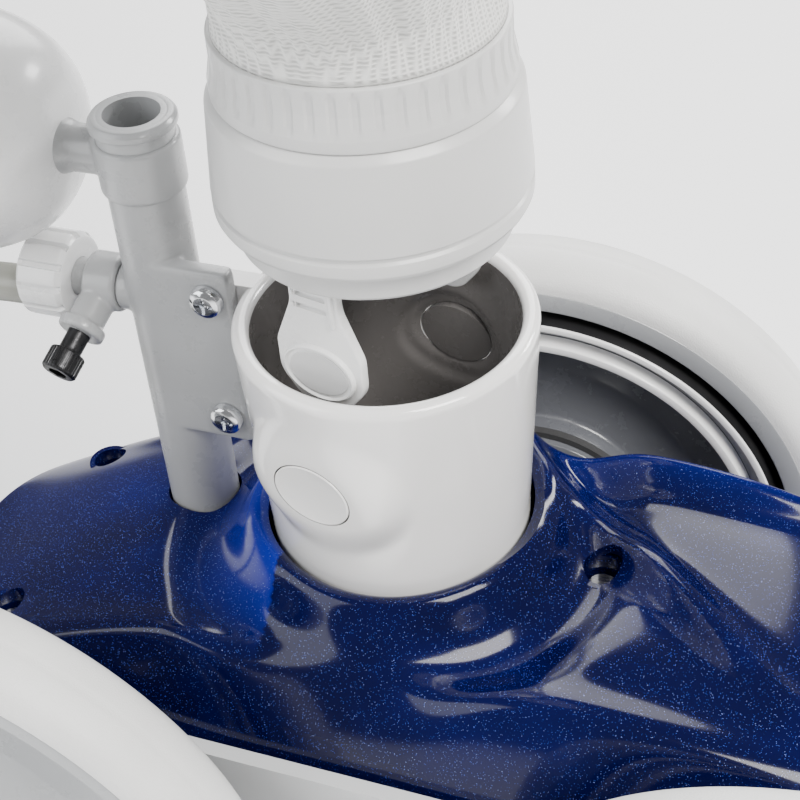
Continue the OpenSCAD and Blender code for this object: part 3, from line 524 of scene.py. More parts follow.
def middle(*nodes):
    # Middle of the box round some nodes
    lows, highs = zip(*(corners(n) for n in nodes))
    return (np.min(lows, 0) + np.max(highs, 0)) / 2


# Places taken from the frame, in millimetres
tubeAt = middle("bag_clamp_ring")[:2]
rimZ = corners("vacuum_tube")[1][2]
pipeAt = np.array([corners("feed_pipe")[0][0] + 11.6, middle("feed_pipe")[1]])
collarLow, collarHigh = corners("bag_collar")
beltZ = corners("base_frame")[1][2] - 2
axleZ = middle("far_wheel")[2]

makeCamera(cameraView)
makeLights(studioLights)


# Sweep hose: the route repeats the chosen points, then the coil's turns, then the tail
hoseSpec = dict(
    diameter=10.5, ribs=26, ribDepth=0.22, coilAt=(-300, 40), coilRadii=(52.25, 62.75), layers=(5.25, 15.75),
    route=[(-113, 13.5, 191), (-119, 13.5, 191), (-130, 13.5, 190.6), (-143, 13.4, 188.6), (-157, 12.9, 184),
           (-171, 11.8, 176), (-184, 10, 164.5), (-195, 7.4, 150.5), (-204, 4, 134), (-211, 0.2, 116),
           (-217, -4, 97), (-223, -8.4, 78), (-229, -12.4, 60), (-237, -16, 43), (-248, -19, 27),
           (-262, -21.4, 15), (-277, -22.6, 8.2), (-292, -22.75, 5.7), (-300, -22.75, 5.3)],
    tail=[(-362.75, 40, 15.75), (-362.75, 58, 15.75), (-362.75, 76, 15.75), (-362.75, 94, 15.75),
    (-362.75, 108, 15.75)])


def coilPath(spec, perTurn=72):
    # Four turns in two layers: out, in, up to the next layer and out again, with short ramps between turns
    (inner, outer), (low, high) = spec["coilRadii"], spec["layers"]
    stops = [(0.0, outer, low), (0.92, outer, low), (1.0, inner, low), (1.92, inner, low), (2.0, inner, high),
             (2.9, inner, high), (3.0, outer, high), (3.75, outer, high)]
    turn = np.linspace(0, 3.75, int(3.75 * perTurn) + 1)
    radius = np.interp(turn, [s[0] for s in stops], [s[1] for s in stops])
    height = np.interp(turn, [s[0] for s in stops], [s[2] for s in stops])
    ang = -math.pi / 2 - tau * turn
    x, y = spec["coilAt"]
    return np.stack([x + radius * np.cos(ang), y + radius * np.sin(ang), height], -1)


def smoothPath(points, step=2.5):
    # A centripetal curve through the points, cut into even steps
    p = np.asarray(points, float)
    p = np.concatenate([2 * p[:1] - p[1:2], p, 2 * p[-1:] - p[-2:-1]])
    out = []
    for a, b, c, d in zip(p[:-3], p[1:-2], p[2:-1], p[3:]):
        n = max(2, int(np.linalg.norm(c - b) / step) + 1)
        t = np.linspace(0, 1, n, endpoint=False)[:, None]
        out.append(0.5 * (2 * b + (c - a) * t + (2 * a - 5 * b + 4 * c - d) * t ** 2 + (3 * b - a - 3 * c + d) * t ** 3))
    return np.concatenate(out + [p[-2:-1]])


def sweep(name, path, section, material):
    # Carries a section (radius by angle) along a path with a frame that turns as little as it can
    path = np.asarray(path, float)
    t = np.gradient(path, axis=0)
    t /= np.linalg.norm(t, axis=1)[:, None]
    u = np.zeros_like(t)
    u[0] = axisFrame(t[0])[0]
    for k in range(1, len(path)):
        w = u[k - 1] - t[k] * (u[k - 1] @ t[k])
        u[k] = w / np.linalg.norm(w)
    v = np.cross(t, u)
    ang = np.arange(len(section)) * tau / len(section)
    pts = path[:, None] + (section * np.cos(ang))[None, :, None] * u[:,
        None] + (section * np.sin(ang))[None, :, None] * v[:, None]
    n = len(section)
    faces = gridFaces(len(path), n, False, True).tolist()
    faces += [list(range(n))[::-1], [(len(path) - 1) * n + k for k in range(n)]]
    obj = meshObject(name, pts.reshape(-1, 3), faces, material)
    tidyMesh(obj)
    return obj


def makeHose(spec):
    route = smoothPath(spec["route"])
    coil = coilPath(spec)
    tail = smoothPath(spec["tail"], 6)
    path = np.concatenate([route[:-1], coil[:-1], tail])
    ang = np.arange(spec["ribs"] * 2)
    section = spec["diameter"] / 2 - spec["ribDepth"] * (ang % 2)
    obj = sweep("sweepHose", path, section, hoseOlive)
    length = float(np.sum(np.linalg.norm(np.diff(path, axis=0), axis=1))) * mm
    settle(obj, "body", "hose", "sweep_hose", "sweep_hose_coil", "sweep_hose_tail")
    print("sweep hose length", round(length, 3))
    return obj, path, length


def makeScrubber():
    # A foam sleeve on the hose's end: a round bar whose skin is pitted and whose ends are eased
    low, high = corners("tail_scrubber")
    at = ((low + high) / 2)[[0, 2]]
    r = (high[2] - low[2]) / 2
    length = high[1] - low[1]
    outline = [(hoseSpec["diameter"] / 2 + 0.2, 0.4)]
    outline += [(r - 1.2, 0), (r, 1.6)] + [(r - 0.5 * (k % 2), z) for k,
        z in enumerate(np.linspace(4, length - 4, 24))]
    outline += [(r, length - 1.6), (r - 1.2, length), (0, length), (0, 12.2),
        (hoseSpec["diameter"] / 2 + 0.2, 12.2)]
    obj = revolve("tailScrubber", outline, (at[0], low[1], at[1]), (0, 1, 0), 96, scrubberFoam)
    return settle(obj, "body", "scrubber_foam", "tail_scrubber")


sweepHose, hosePath, hoseLength = makeHose(hoseSpec)
tailScrubber = makeScrubber()
print("cords done")

# Suction tube, its release buttons and the pocket round each button inside
tubeSpec = dict(rimR=37.0, lowR=33.9, footR=33.4, wall=4.3, footZ=40.0, socketZ=147.0, boreLow=29.1,
                buttonTurn=-102.0, buttonZ=177.0, buttonHalf=(10.4, 8.4), flatR=36.9, bulgeHalf=(21.0, 18.0))


def denseOutline(points, step):
    # The same closed outline with extra points on its long sides
    pts = np.asarray(points, float)
    out = []
    for a, b in zip(pts, np.roll(pts, -1, 0)):
        n = max(1, int(np.linalg.norm(b - a) / step))
        out.append(a + (b - a) * np.linspace(0, 1, n, endpoint=False)[:, None])
    return np.concatenate(out)


def softStep(x, low, high):
    # Goes smoothly from 1 below low to 0 above high
    t = np.clip((x - low) / (high - low), 0, 1)
    return 1 - t * t * (3 - 2 * t)


def ovalBar(name, turn, z, half, r0, r1, material=None, ease=0.6, dish=0.0, segments=72):
    # An oval bar that points outwards from the tube axis, with an eased outer edge
    # and a slight dish in its face
    a = math.radians(turn)
    out = np.array([math.cos(a), math.sin(a), 0])
    across = np.array([-math.sin(a), math.cos(a), 0])
    rings = [(0.0, r0), (1.0, r0), (1.0, r1 - ease), (1 - 0.3 * ease / half[0], r1 - 0.3 * ease),
        (1 - ease / half[0], r1),
             (1 - 2.2 * ease / half[0], r1 - dish), (0.0, r1 - dish)]
    t = np.arange(segments) * tau / segments
    scale = np.array([ring[0] for ring in rings])[:, None]
    level = np.array([ring[1] for ring in rings])[:, None]
    pts = (np.array([tubeAt[0], tubeAt[1], z]) + (scale * half[0] * np.cos(t))[..., None] * across
           + (scale * half[1] * np.sin(t))[..., None] * np.array([0, 0, 1.0]) + (level + 0 * t)[...,
           None] * out)
    obj = meshObject(name, pts.reshape(-1, 3), gridFaces(len(rings), segments, False, True), material)
    tidyMesh(obj)
    smoothByAngle(obj, 30)
    return obj


def makeTube(spec):
    rim, low, foot, wall = spec["rimR"], spec["lowR"], spec["footR"], spec["wall"]
    top = rimZ - 0.06
    lip = [(rim - wall / 2 + wall / 2 * math.cos(t), top - 1.9 + 1.9 * math.sin(t)) for t in np.linspace(0,
        math.pi, 9)]
    outline = [(foot, spec["footZ"]), (low, spec["socketZ"])] + lip
    outline += [(low - wall, spec["socketZ"]), (spec["boreLow"], 46), (spec["boreLow"], 40.6), (25.4, 40)]
    outline = denseOutline(outline, 1.1)

    def radial(r, h, ang):
        # Outside: a soft flat round each button. Inside: two nested oval hollows
        # with a rounded step between them
        outer = r > np.interp(h, [spec["footZ"], spec["socketZ"], top], [foot, low, rim]) - 1.0
        for turn in (spec["buttonTurn"], spec["buttonTurn"] + 180):
            off = (ang - math.pi / 2 - math.radians(turn) + math.pi) % tau - math.pi
            across, up = off * r, h - spec["buttonZ"]
            swell = np.hypot(across / spec["bulgeHalf"][0], up / spec["bulgeHalf"][1])
            flat = spec["flatR"] / np.cos(off.clip(-0.6, 0.6))
            outside = np.maximum(flat - r, 0) * softStep(swell, 0.5, 1.2)
            first = np.hypot(across / 16.5, (up + 1.0) / 14.0)
            second = np.hypot(across / 12.4, up / 10.0)
            inside = 1.1 * softStep(first, 0.86, 1.02) + 0.9 * softStep(second, 0.86, 1.0)
            r = r + np.where(outer, outside, inside)
        return r

    # Faces inside the bore take the second finish, painted shade inside the white tube
    obj = revolve("vacuumTube", outline, (tubeAt[0], tubeAt[1], 0), (0, 0, 1), 288, [tubeWhite, tubeShadeInside],
        radial,
                  lambda rad, h: (rad < np.interp(h, [40, spec["socketZ"], top - 2.3, top - 2.2],
                  [foot - 1.8, low - 1.8, rim - 1.9, 0])) * 1)
    windows = [ovalBar("cut", spec["buttonTurn"] + k, spec["buttonZ"],
        (spec["buttonHalf"][0] + 0.35, spec["buttonHalf"][1] + 0.35), 24, 44)
               for k in (0, 180)]
    cutWith(obj, windows)
    lug = block("cut", (flangeX() - 6, tubeAt[1] + 1, rimZ - 48),
        (tubeAt[0] - 20, tubeAt[1] + 7, rimZ - 0.02), 0)
    lug.data.materials.append(tubeWhite)
    hollow = rod("cut", (tubeAt[0], tubeAt[1], rimZ - 60), (0, 0, 1), rim - 2.2, 80, 96, 0)
    cutWith(lug, [hollow])
    cutWith(obj, [lug], "UNION")
    smoothByAngle(obj, 35)
    return settle(obj, "body", "tube_white", "vacuum_tube")


def flangeX():
    return tubeAt[0] - tubeSpec["rimR"] - 8


def makeButton(name, turn, body, node, spec):
    obj = ovalBar(name, turn, spec["buttonZ"], spec["buttonHalf"], spec["rimR"] - spec["wall"] - 1,
        spec["flatR"] + 0.25, [tubeWhite, tubeShadeInside], 0.35, 0.1)
    reach = np.hypot(*(meshArray(obj.data.polygons, "center")[:, :2] / mm - tubeAt).T)
    # The button's inner faces take the same painted shade
    obj.data.polygons.foreach_set("material_index", (reach < spec["flatR"] - 0.7).astype(np.int32))
    return settle(obj, body, "tube_white", node)


makeTube(tubeSpec)
makeButton("nearReleaseButton", tubeSpec["buttonTurn"], "near_button", "near_release_button", tubeSpec)
makeButton("farReleaseButton", tubeSpec["buttonTurn"] + 180, "far_button", "far_release_button", tubeSpec)
print("tube done")

# Top shell: its outside height over plan, the same rule as the CAD shell with finer creases
shellSpec = dict(length=318.0, width=112.0, power=3.2, edge=0.985, wall=3.0, dome=40.0, holeR=35.1,
    rings=96, steps=300,
                 screws=((36.5, 7.5), (119.0, -24.0), (-123.0, -30.0), (-123.0, 32.0)), bossDepth=9.0,
                 bossR=5.0)


def ridge(d, w):
    return np.exp(-(d / w) ** 2)


def planQ(x, y, spec):
    p = spec["power"]
    return (np.abs(x * 2 / spec["length"]) ** p + np.abs(y * 2 / spec["width"]) ** p) ** (1 / p)


def shellHeight(x, y, spec):
    # A flat-topped dome that falls towards both ends, a collar round the tube, three long crests and a valley
    q = np.minimum(planQ(x, y, spec), 1)
    r = np.hypot(x - tubeAt[0], y - tubeAt[1])
    tail, nose = np.maximum(0, -x - 40) / 100, np.maximum(0, x - 20) / 140
    z = beltZ + spec["dome"] * np.maximum(0, 1 - q ** 5) ** 0.55 * (1 - 0.7 * tail ** 1.5 - 0.25 * nose ** 2)
    z = z + 9 * ridge(r - 37.9, 6) - 5 * ridge(r - 53.9, 9)
    z = z + 6 * ridge(y + 44, 8) * (1 - q ** 6)
    z = z + (6 + 11 / (1 + np.exp((10 - x) / 12))) * ridge(y - 45, 7) * (1 - q ** 6)
    return z + 6 * ridge(y - tubeAt[1] - 22 + 0.75 * (x - tubeAt[0] - 36), 7) * ridge(x - tubeAt[0] - 62, 36)


def shellEdge(ang, spec):
    # Distance from the tube axis to the outline in each direction, by halving an interval
    low, high = np.full_like(ang, 20.0), np.full_like(ang, 200.0)
    for _ in range(24):
        m = (low + high) / 2
        inside = planQ(tubeAt[0] + m * np.cos(ang), tubeAt[1] + m * np.sin(ang), spec) < spec["edge"]
        low, high = np.where(inside, m, low), np.where(inside, high, m)
    return low


def makeShell(spec):
    ang = np.arange(spec["steps"]) * tau / spec["steps"]
    edge = shellEdge(ang, spec)
    s = (np.linspace(0, 1, spec["rings"]) ** 0.85)[:, None]

    def layer(inset, drop):
        r = spec["holeR"] + (edge - inset - spec["holeR"])[None] * s
        x, y = tubeAt[0] + r * np.cos(ang), tubeAt[1] + r * np.sin(ang)
        return np.stack([x, y, shellHeight(x, y, spec) - drop], -1)

    outer, inner = layer(0, 0), layer(spec["wall"], spec["wall"])[::-1]
    skirtOut, skirtIn = outer[-1:].copy(), inner[:1].copy()
    skirtOut[..., 2] = skirtIn[..., 2] = beltZ + 0.3
    pts = np.concatenate([outer, skirtOut, skirtIn, inner])
    obj = meshObject("topShell", pts.reshape(-1, 3), gridFaces(len(pts), spec["steps"], True, True),
        [shellBlue])
    tidyMesh(obj)
    cuts = []
    for x, y in spec["screws"]:
        top = float(shellHeight(np.array(x), np.array(y), spec))
        post = rod("post", (x, y, beltZ + 2), (0, 0, 1), 6.6, top - beltZ - 3, 48, 0.1)
        cutWith(obj, [post], "UNION")
        cuts.append(rod("cut", (x, y, max(top - spec["bossDepth"], beltZ + 5)), (0, 0, 1), spec["bossR"],
            30, 64, 0.05))
        cuts.append(rod("cut", (x, y, beltZ), (0, 0, 1), 2, 60, 32, 0.05))
    cuts.append(rod("cut", (pipeAt[0], pipeAt[1], beltZ), (0, 0, 1), 10.4, 90, 96, 0.05))
    for node, side in (("rear_wheel", -1), ("front_wheel", -1), ("far_wheel", 1)):
        at = (middle(node)[0], 40 if side > 0 else -112, axleZ)
        cuts.append(rod("cut", at, (0, 1, 0), 13, 72, 64, 0.05))
    cutWith(obj, cuts)
    smoothByAngle(obj, 38)
    # Painted glow: brighter blue painted behind the tube opening, over the left hump and along the far crest, where
    # light shines through the shell
    points = meshArray(obj.data.vertices, "co") / mm
    r = np.hypot(points[:, 0] - tubeAt[0], points[:, 1] - tubeAt[1])
    thin = 0.7 * ridge(r - 40, 9) * (points[:, 0] < -40) + 0.22 * ridge(points[:, 0] + 95,
        30) * ridge(points[:, 1] - 20, 26)
    thin += 0.25 * ridge(points[:, 1] - 46, 9) * ridge(points[:, 0] - 40, 60)
    attribute = obj.data.attributes.new("thin", "FLOAT", "POINT")
    attribute.data.foreach_set("value", np.clip(thin, 0, 1).astype(np.float32))
    return settle(obj, "body", "shell_blue", "top_shell")


makeShell(shellSpec)
print("shell done")

def joined(name, parts):
    # Several closed solids kept as one piece
    with bpy.context.temp_override(active_object=parts[0], object=parts[0], selected_objects=parts,
        selected_editable_objects=parts):
        bpy.ops.object.join()
    parts[0].name = parts[0].data.name = name
    return parts[0]


def turned(obj, turn):
    # Carries a solid drawn on the +X side of the tube axis round to its direction
    obj.data.transform(Matrix.Translation((tubeAt[0] * mm, tubeAt[1] * mm,
        0)) @ Matrix.Rotation(math.radians(turn), 4, "Z"))
    return obj


def prism(name, outline, r0, r1, bevel, material):
    # A flat outline of (across, height) made thick along X, with eased edges
    n = len(outline)
    pts = [(r0, a, h) for a, h in outline] + [(r1, a, h) for a, h in outline]
    faces = [tuple(range(n))[::-1], tuple(range(n, 2 * n))] + [(k, (k + 1) % n, n + (k + 1) % n,
        n + k) for k in range(n)]
    obj = meshObject(name, pts, faces, material)
    mod = obj.modifiers.new("round", "BEVEL")
    mod.width = bevel * mm
    mod.segments = 3
    mod.limit_method = "ANGLE"
    mod.angle_limit = math.radians(50)
    applyModifiers(obj)
    tidyMesh(obj)
    smoothByAngle(obj, 35)
    return obj


# Wheels: heights run outwards from each wheel's inner face
wheelSpec = dict(rimR=80.0, tyreDepth=8.0, tyreW=24.0, width=30.0, drumR=32.0, drumW=8.6, seatR=13.0,
    hubR=19.0,
                 hubDepth=20.0, capR=24.0, webR=46.0, lip=2.5)


def makeWheel(tag, body, side, spec):
    node = tag + "_wheel"
    low, high = corners(node)
    inner = low[1] + spec["drumW"] if side > 0 else high[1] - spec["drumW"]
    at, out = (middle(node)[0], inner, axleZ), (0, side, 0)
    rim, web, lip, w = spec["rimR"], spec["webR"], spec["lip"], spec["width"]
    drum, seat, hub, cap, tyre = spec["drumR"], spec["seatR"], spec["hubR"], spec["capR"], spec["tyreW"]
    outline = [(seat, -spec["drumW"]), (drum - 3, -spec["drumW"]), (drum, 1 - spec["drumW"]), (drum, -1),
        (drum - 2, 0), (drum - 2, 6), (web, 9),
               (rim - 18.6, 7), (rim - 18.6, -lip), (rim - 15.6, -lip), (rim - 15.6, 3), (rim - 11.3, 3),
               (rim - 11.3, -lip), (rim - 9.1, -lip), (rim - 9.1, 9), (rim - 6.3, 9), (rim - 6.3, 0.4),
               (rim, 0.4),
               (rim, tyre - 1), (rim - 4, tyre), (rim - 7, tyre - 3), (rim - 9, tyre - 9), (web, tyre - 10.5),
               (cap + 6, w - 10), (cap + 4, w - 1), (cap, w - 1), (cap, w - 4), (hub, w - 4),
               (hub, spec["hubDepth"]),
               (seat, spec["hubDepth"])]
    bends = [0.3, 0.6, 0.5, 0.6, 0.5, 2, 6, 2.4, 0.9, 0.9, 0.8, 0.8, 0.7, 0.7, 0.4, 0.4, 0.9, 0.3] + [0.8,
        1.5, 1.5, 3, 6, 2] + [0.5] * 6

    def finish(rad, h):
        # Bands across the face: white lips, a black groove painted as shade, grey rings between them with the ring
        # inside the tyre painted as shade from the tyre's edge, and a dark dish
        # The grey band beside the tyre is painted shade; the grey outer face is the wheel's own grey
        kind = np.where((rad > rim - 6.2) | (rad > cap + 3) & (h > 11.2), 1, 0)
        kind = np.where((rad > rim - 15.5) & (rad < rim - 11.4) & (h < 4), 1, kind)
        kind = np.where((h < 0.5) & (np.abs(rad - rim + 17.1) < 1.7), 2, kind)
        kind = np.where((h < 0.5) & (np.abs(rad - rim + 10.2) < 1.3), 2, kind)
        # The near-black band down the deep groove is painted shade
        return np.where((rad > rim - 9.2) & (rad < rim - 6.2) & (h > 0.5) & (h < 9.6), 3, kind)

    obj = revolve(tag + "Wheel", filleted(outline, bends, 4), at, out, 192,
        [wheelDark, wheelGreyAndShade, wheelRing, paintedGrooveShade], None, finish)
    smoothByAngle(obj, 30)
    settle(obj, body, "wheel_grey", node)

    a = np.linspace(-90, 90, 37) * math.pi / 180
    section = np.stack([rim + spec["tyreDepth"] * np.cos(a).clip(0) ** 0.7,
        tyre / 2 + (tyre / 2 - 0.6) * np.sin(a)], -1)
    section[18, 0] -= 0.35
    obj = revolve(tag + "Tyre", section, at, out, 192, tyreWhite)
    smoothByAngle(obj, 50)
    settle(obj, body, "tyre_white", tag + "_tyre")

    disc = [(0, w - 4), (cap - 0.1, w - 4), (cap - 0.1, w - 1), (cap - 4, w - 1), (cap - 4.4, w), (9, w),
        (8, w - 0.8), (0, w - 0.8)]
    obj = revolve(tag + "HubCap", filleted(disc, [0, 0.3, 0.7, 0.3, 0.4, 0.5, 0.4, 0], 4), at, out, 128,
        wheelRing)
    smoothByAngle(obj, 40)
    settle(obj, body, "cap_white", tag + "_hub_cap")


makeWheel("rear", "rear_wheel_group", -1, wheelSpec)
makeWheel("front", "front_wheel_group", -1, wheelSpec)
makeWheel("far", "far_wheel_group", 1, wheelSpec)
print("wheels done")

# Bag collar, snap arms, clamp ring and bag, in the lifted place
seamZ, collarTopZ = collarLow[2] + 8, collarHigh[2]
armSpec = dict(r=27.4, thick=2.6, hinge=5.0, length=38.0, discDrop=28.0, disc=(9.6, 7.4), proud=1.2)


def makeCollar(spec):
    outline = [(28.7, seamZ - 8), (30.9, seamZ - 8), (31.7, seamZ - 7), (31.7, seamZ), (35.4, seamZ),
        (36, seamZ + 1.2), (36, seamZ + 4),
               (35.3, seamZ + 4.6), (35.3, seamZ + 5.4), (36, seamZ + 6), (34.4, collarTopZ - 2),
               (32.4, collarTopZ),
               (29, collarTopZ), (28.7, collarTopZ - 6)]
    obj = revolve("bagCollar", filleted(outline,
        [0.5, 0.5, 0.5, 0.4, 0.3, 0.5, 0.3, 0.2, 0.2, 0.3, 1.2, 1.0, 0.5, 1], 4),
                  (tubeAt[0], tubeAt[1], 0), (0, 0, 1), 256, [collarWhite])
    hinge = seamZ - spec["hinge"]
    cuts = [turned(block("cut", (spec["r"] - 8, -9, hinge - 12), (spec["r"] + 2.2, 9, hinge + 8), 0),
        tubeSpec["buttonTurn"] + t) for t in (0, 180)]
    cutWith(obj, cuts)
    smoothByAngle(obj, 35)
    return settle(obj, "bag_assembly", "collar_white", "bag_collar")


def makeArm(name, turn, body, node, spec):
    r, t, z = spec["r"], spec["thick"], seamZ - spec["hinge"]
    long = spec["length"]
    outline = [(-6.4, z + 6), (6.4, z + 6), (6.4, z - 10), (11.4, z - 22), (11.4, z - long + 7),
        (6, z - long), (-6, z - long),
               (-11.4, z - long + 7), (-11.4, z - 22), (-6.4, z - 10)]
    plate = prism("plate", filleted(outline, [0.6, 0.6, 9, 7, 7, 6, 6, 7, 7, 9], 8)[::-1], r - t, r, 0.5,
        armWhite)
    slots = [block("cut", (r - 1.1, -4.6, z - 1.2 - 3.3 * k), (r + 1, 3.4, z + 0.2 - 3.3 * k),
        0.3) for k in range(4)]
    cutWith(plate, slots)
    smoothByAngle(plate, 35)
    parts = [turned(plate, turn)]
    parts.append(turned(block("rail", (r - 0.5, 4.4, z - 14), (r + 0.9, 5.6, z + 4), 0.4, armWhite), turn))
    parts += [turned(block("stud", (r - 0.5, -5.6, z - 1.2 - 3.3 * k), (r + 0.5, -4.9, z + 0.2 - 3.3 * k),
        0.25, armWhite), turn) for k in range(4)]
    parts.append(ovalBar("disc", turn, z - spec["discDrop"], spec["disc"], r - 0.5, r + spec["proud"],
        armWhite, 0.5, 0.5))
    parts.append(ovalBar("pad", turn, z - spec["discDrop"], (spec["disc"][0] - 1.7, spec["disc"][1] - 1.6),
        r, r + spec["proud"] - 0.25, padGrey, 0.25, 0.05))
    return settle(joined(name, parts), body, "collar_white", node)


def makeClampRing():
    low, high = corners("bag_clamp_ring")
    r, z, top = (high[0] - low[0]) / 2, low[2], high[2]
    outline = [(29, z), (r, z), (r, z + 3), (r - 1, z + 8), (r - 1, top), (29, top)]
    grip = lambda rr, h, ang: rr - 0.5 * (rr > r - 1.2) * (h > z + 3.4) * (h < top - 1) * (np.sin(ang * 44) > 0.2)
    obj = revolve("bagClampRing", denseOutline(filleted(outline, [0.4, 0.6, 0.6, 0.8, 0.5, 0.4], 4), 1.2),
        (tubeAt[0], tubeAt[1], 0),
                  (0, 0, 1), 352, collarWhite, grip)
    smoothByAngle(obj, 35)
    return settle(obj, "bag_assembly", "collar_white", "bag_clamp_ring")


bagSpec = dict(mouth=31.0, wide=92.0, deep=44.0, wall=0.7, rows=150, cols=320)


def makeBag(spec):
    # A cloth shell that opens from its round mouth to a flat pillow, with long folds
    # that fade at the mouth and the top seam
    low, high = corners("filter_bag")
    s = np.linspace(0, 1, spec["rows"])[:, None]
    a = (np.arange(spec["cols"]) * tau / spec["cols"])[None]

    def half(wide, top):
        rise = spec["mouth"] + (wide - spec["mouth"]) * np.sin(np.pi / 2 * np.minimum(s, 0.4) / 0.4) ** 1.3
        fall = top + (wide - top) * np.cos(np.pi / 2 * (np.maximum(s, 0.4) - 0.4) / 0.6).clip(0) ** 0.62
        return np.where(s < 0.4, rise, fall)

    fade = np.sin(np.pi * s ** 0.8) ** 0.8
    fold = 1.5 * np.sin(9 * a + 3 * np.sin(4 * s)) + 1.0 * np.sin(17 * a - 5 * s + 1.3) + 0.8 * np.sin(23 * a + 7 * s)
    gather = 0.7 * np.sin(60 * a) * np.exp(-s / 0.05)
    sag = 1.2 * np.sin(26 * s + 2 * np.cos(2 * a)) * fade

    def layer(inset):
        off = -3.2 + fade * fold * 0.8 + gather + 0.6 * sag - inset
        off = off * np.minimum(1, s / 0.04 + 0.02)
        w, d = half(spec["wide"], spec["wide"] * 0.8) + off, np.maximum(half(spec["deep"], 4) + off,
            1.4 - inset)
        z = low[2] + (high[2] - low[2]) * s - inset * (s > 0.999)
        return np.stack([tubeAt[0] + d * np.cos(a), tubeAt[1] + w * np.sin(a), z + 0 * a], -1)

    outer, inner = layer(0), layer(spec["wall"])[::-1]
    n, rows = spec["cols"], spec["rows"]
    pts = np.concatenate([outer, inner]).reshape(-1, 3)
    quads = gridFaces(2 * rows, n, True, True)
    quads = quads[(quads[:, 0] // n) != rows - 1]
    faces = quads.tolist() + [[(rows - 1) * n + k for k in range(n)], [rows * n + k for k in range(n)][::-1]]
    obj = meshObject("filterBag", pts, faces, bagCloth)
    tidyMesh(obj, 1e-7)
    loops = np.zeros(len(obj.data.loops), int)
    obj.data.loops.foreach_get("vertex_index", loops)
    co = meshArray(obj.data.vertices, "co")[loops]
    weave = obj.data.uv_layers.new(name="weave")
    weave.data.foreach_set("uv", np.stack([co[:, 1], co[:, 2]], -1).astype(np.float32).ravel())
    settle(obj, "bag_assembly", "bag_mesh", "filter_bag")
    area = sum(face.area for face in obj.data.polygons) / 2
    print("bag cloth area", round(area, 4))
    return obj, area


makeCollar(armSpec)
makeArm("nearSnapArm", tubeSpec["buttonTurn"], "near_arm", "near_snap_arm", armSpec)
makeArm("farSnapArm", tubeSpec["buttonTurn"] + 180, "far_arm", "far_snap_arm", armSpec)
makeClampRing()
filterBag, bagArea = makeBag(bagSpec)
print("collar and bag done")

# Feed pipe, float and hose fittings
pipeSpec = dict(r=9.6, bore=7.0, flangeT=5.0, flangeLow=48.0, holes=(2.0, 40.0), hoseDrop=9.0,
                floatR=31.0, floatHalf=34.0)


def makePipe(spec):
    x, y = pipeAt
    low, high = corners("feed_pipe")
    z0, z1, hose = low[2], high[2], rimZ - spec["hoseDrop"]
    fy = tubeAt[1] - 4
    parts = [rod("pipe", (x, y, z0), (0, 0, 1), spec["r"], z1 - z0, 96, 0.5),
             block("flange", (x, fy, rimZ - spec["flangeLow"]),
             (flangeX() + 6, fy + spec["flangeT"], rimZ + 6), 1.0),
             rod("stub", (x - spec["r"] - 2, y, hose), (1, 0, 0), 6.6, spec["r"] + 2, 64, 0.4)]
    obj = melt("feedPipe", parts, 0.6, 7, pipeGrey)
    cuts = [rod("cut", (x, y, z0 - 5), (0, 0, 1), spec["bore"], z1 - z0 + 10, 96, 0.1),
            rod("cut", (x - spec["r"] - 5, y, hose), (1, 0, 0), 2.6, spec["r"] + 2, 48, 0.1)]
    cuts += [rod("cut", (flangeX(), fy - 5, rimZ - drop), (0, 1, 0), 2.2, 20, 48,
        0.1) for drop in spec["holes"]]
    cutWith(obj, cuts)
    smoothByAngle(obj, 40)
    r = spec["r"]
    lip = [(7.05, z1 - 3.2), (r - 0.3, z1 - 3.2), (r + 1.2, z1 - 2.7), (r + 1.2, z1 - 1.2),
        (r + 0.3, z1 - 0.02), (7.05, z1 - 0.02)]
    ring = revolve("lip", filleted(lip, [0.1, 0.3, 0.5, 0.6, 0.7, 0.6], 4), (x, y, 0), (0, 0, 1), 128,
        pipeGrey)
    smoothByAngle(ring, 40)
    return settle(joined("feedPipe", [obj, ring]), "body", "pipe_grey", "feed_pipe")


def makeFlangeScrews(spec):
    parts = []
    for drop in spec["holes"]:
        at = (flangeX(), tubeAt[1] - 4, rimZ - drop)
        outline = [(0, -3), (2.6, -3), (4.2, -2.3), (4.6, 0), (2, 0), (2, 10.6), (1.4, 11), (0, 11)]
        head = revolve("head", filleted(outline, [0, 0.8, 1.2, 0.3, 0.1, 0.3, 0.2, 0], 5), at, (0, 1, 0),
            96, chrome)
        x, y, z = at
        cutWith(head, [block("cut", (x - 2.5, y - 4, z - 0.45), (x + 2.5, y - 1.5, z + 0.45), 0),
                       block("cut", (x - 0.45, y - 4, z - 2.5), (x + 0.45, y - 1.5, z + 2.5), 0)])
        smoothByAngle(head, 30)
        parts.append(head)
    return settle(joined("flangeScrews", parts), "body", "steel", "flange_screws")


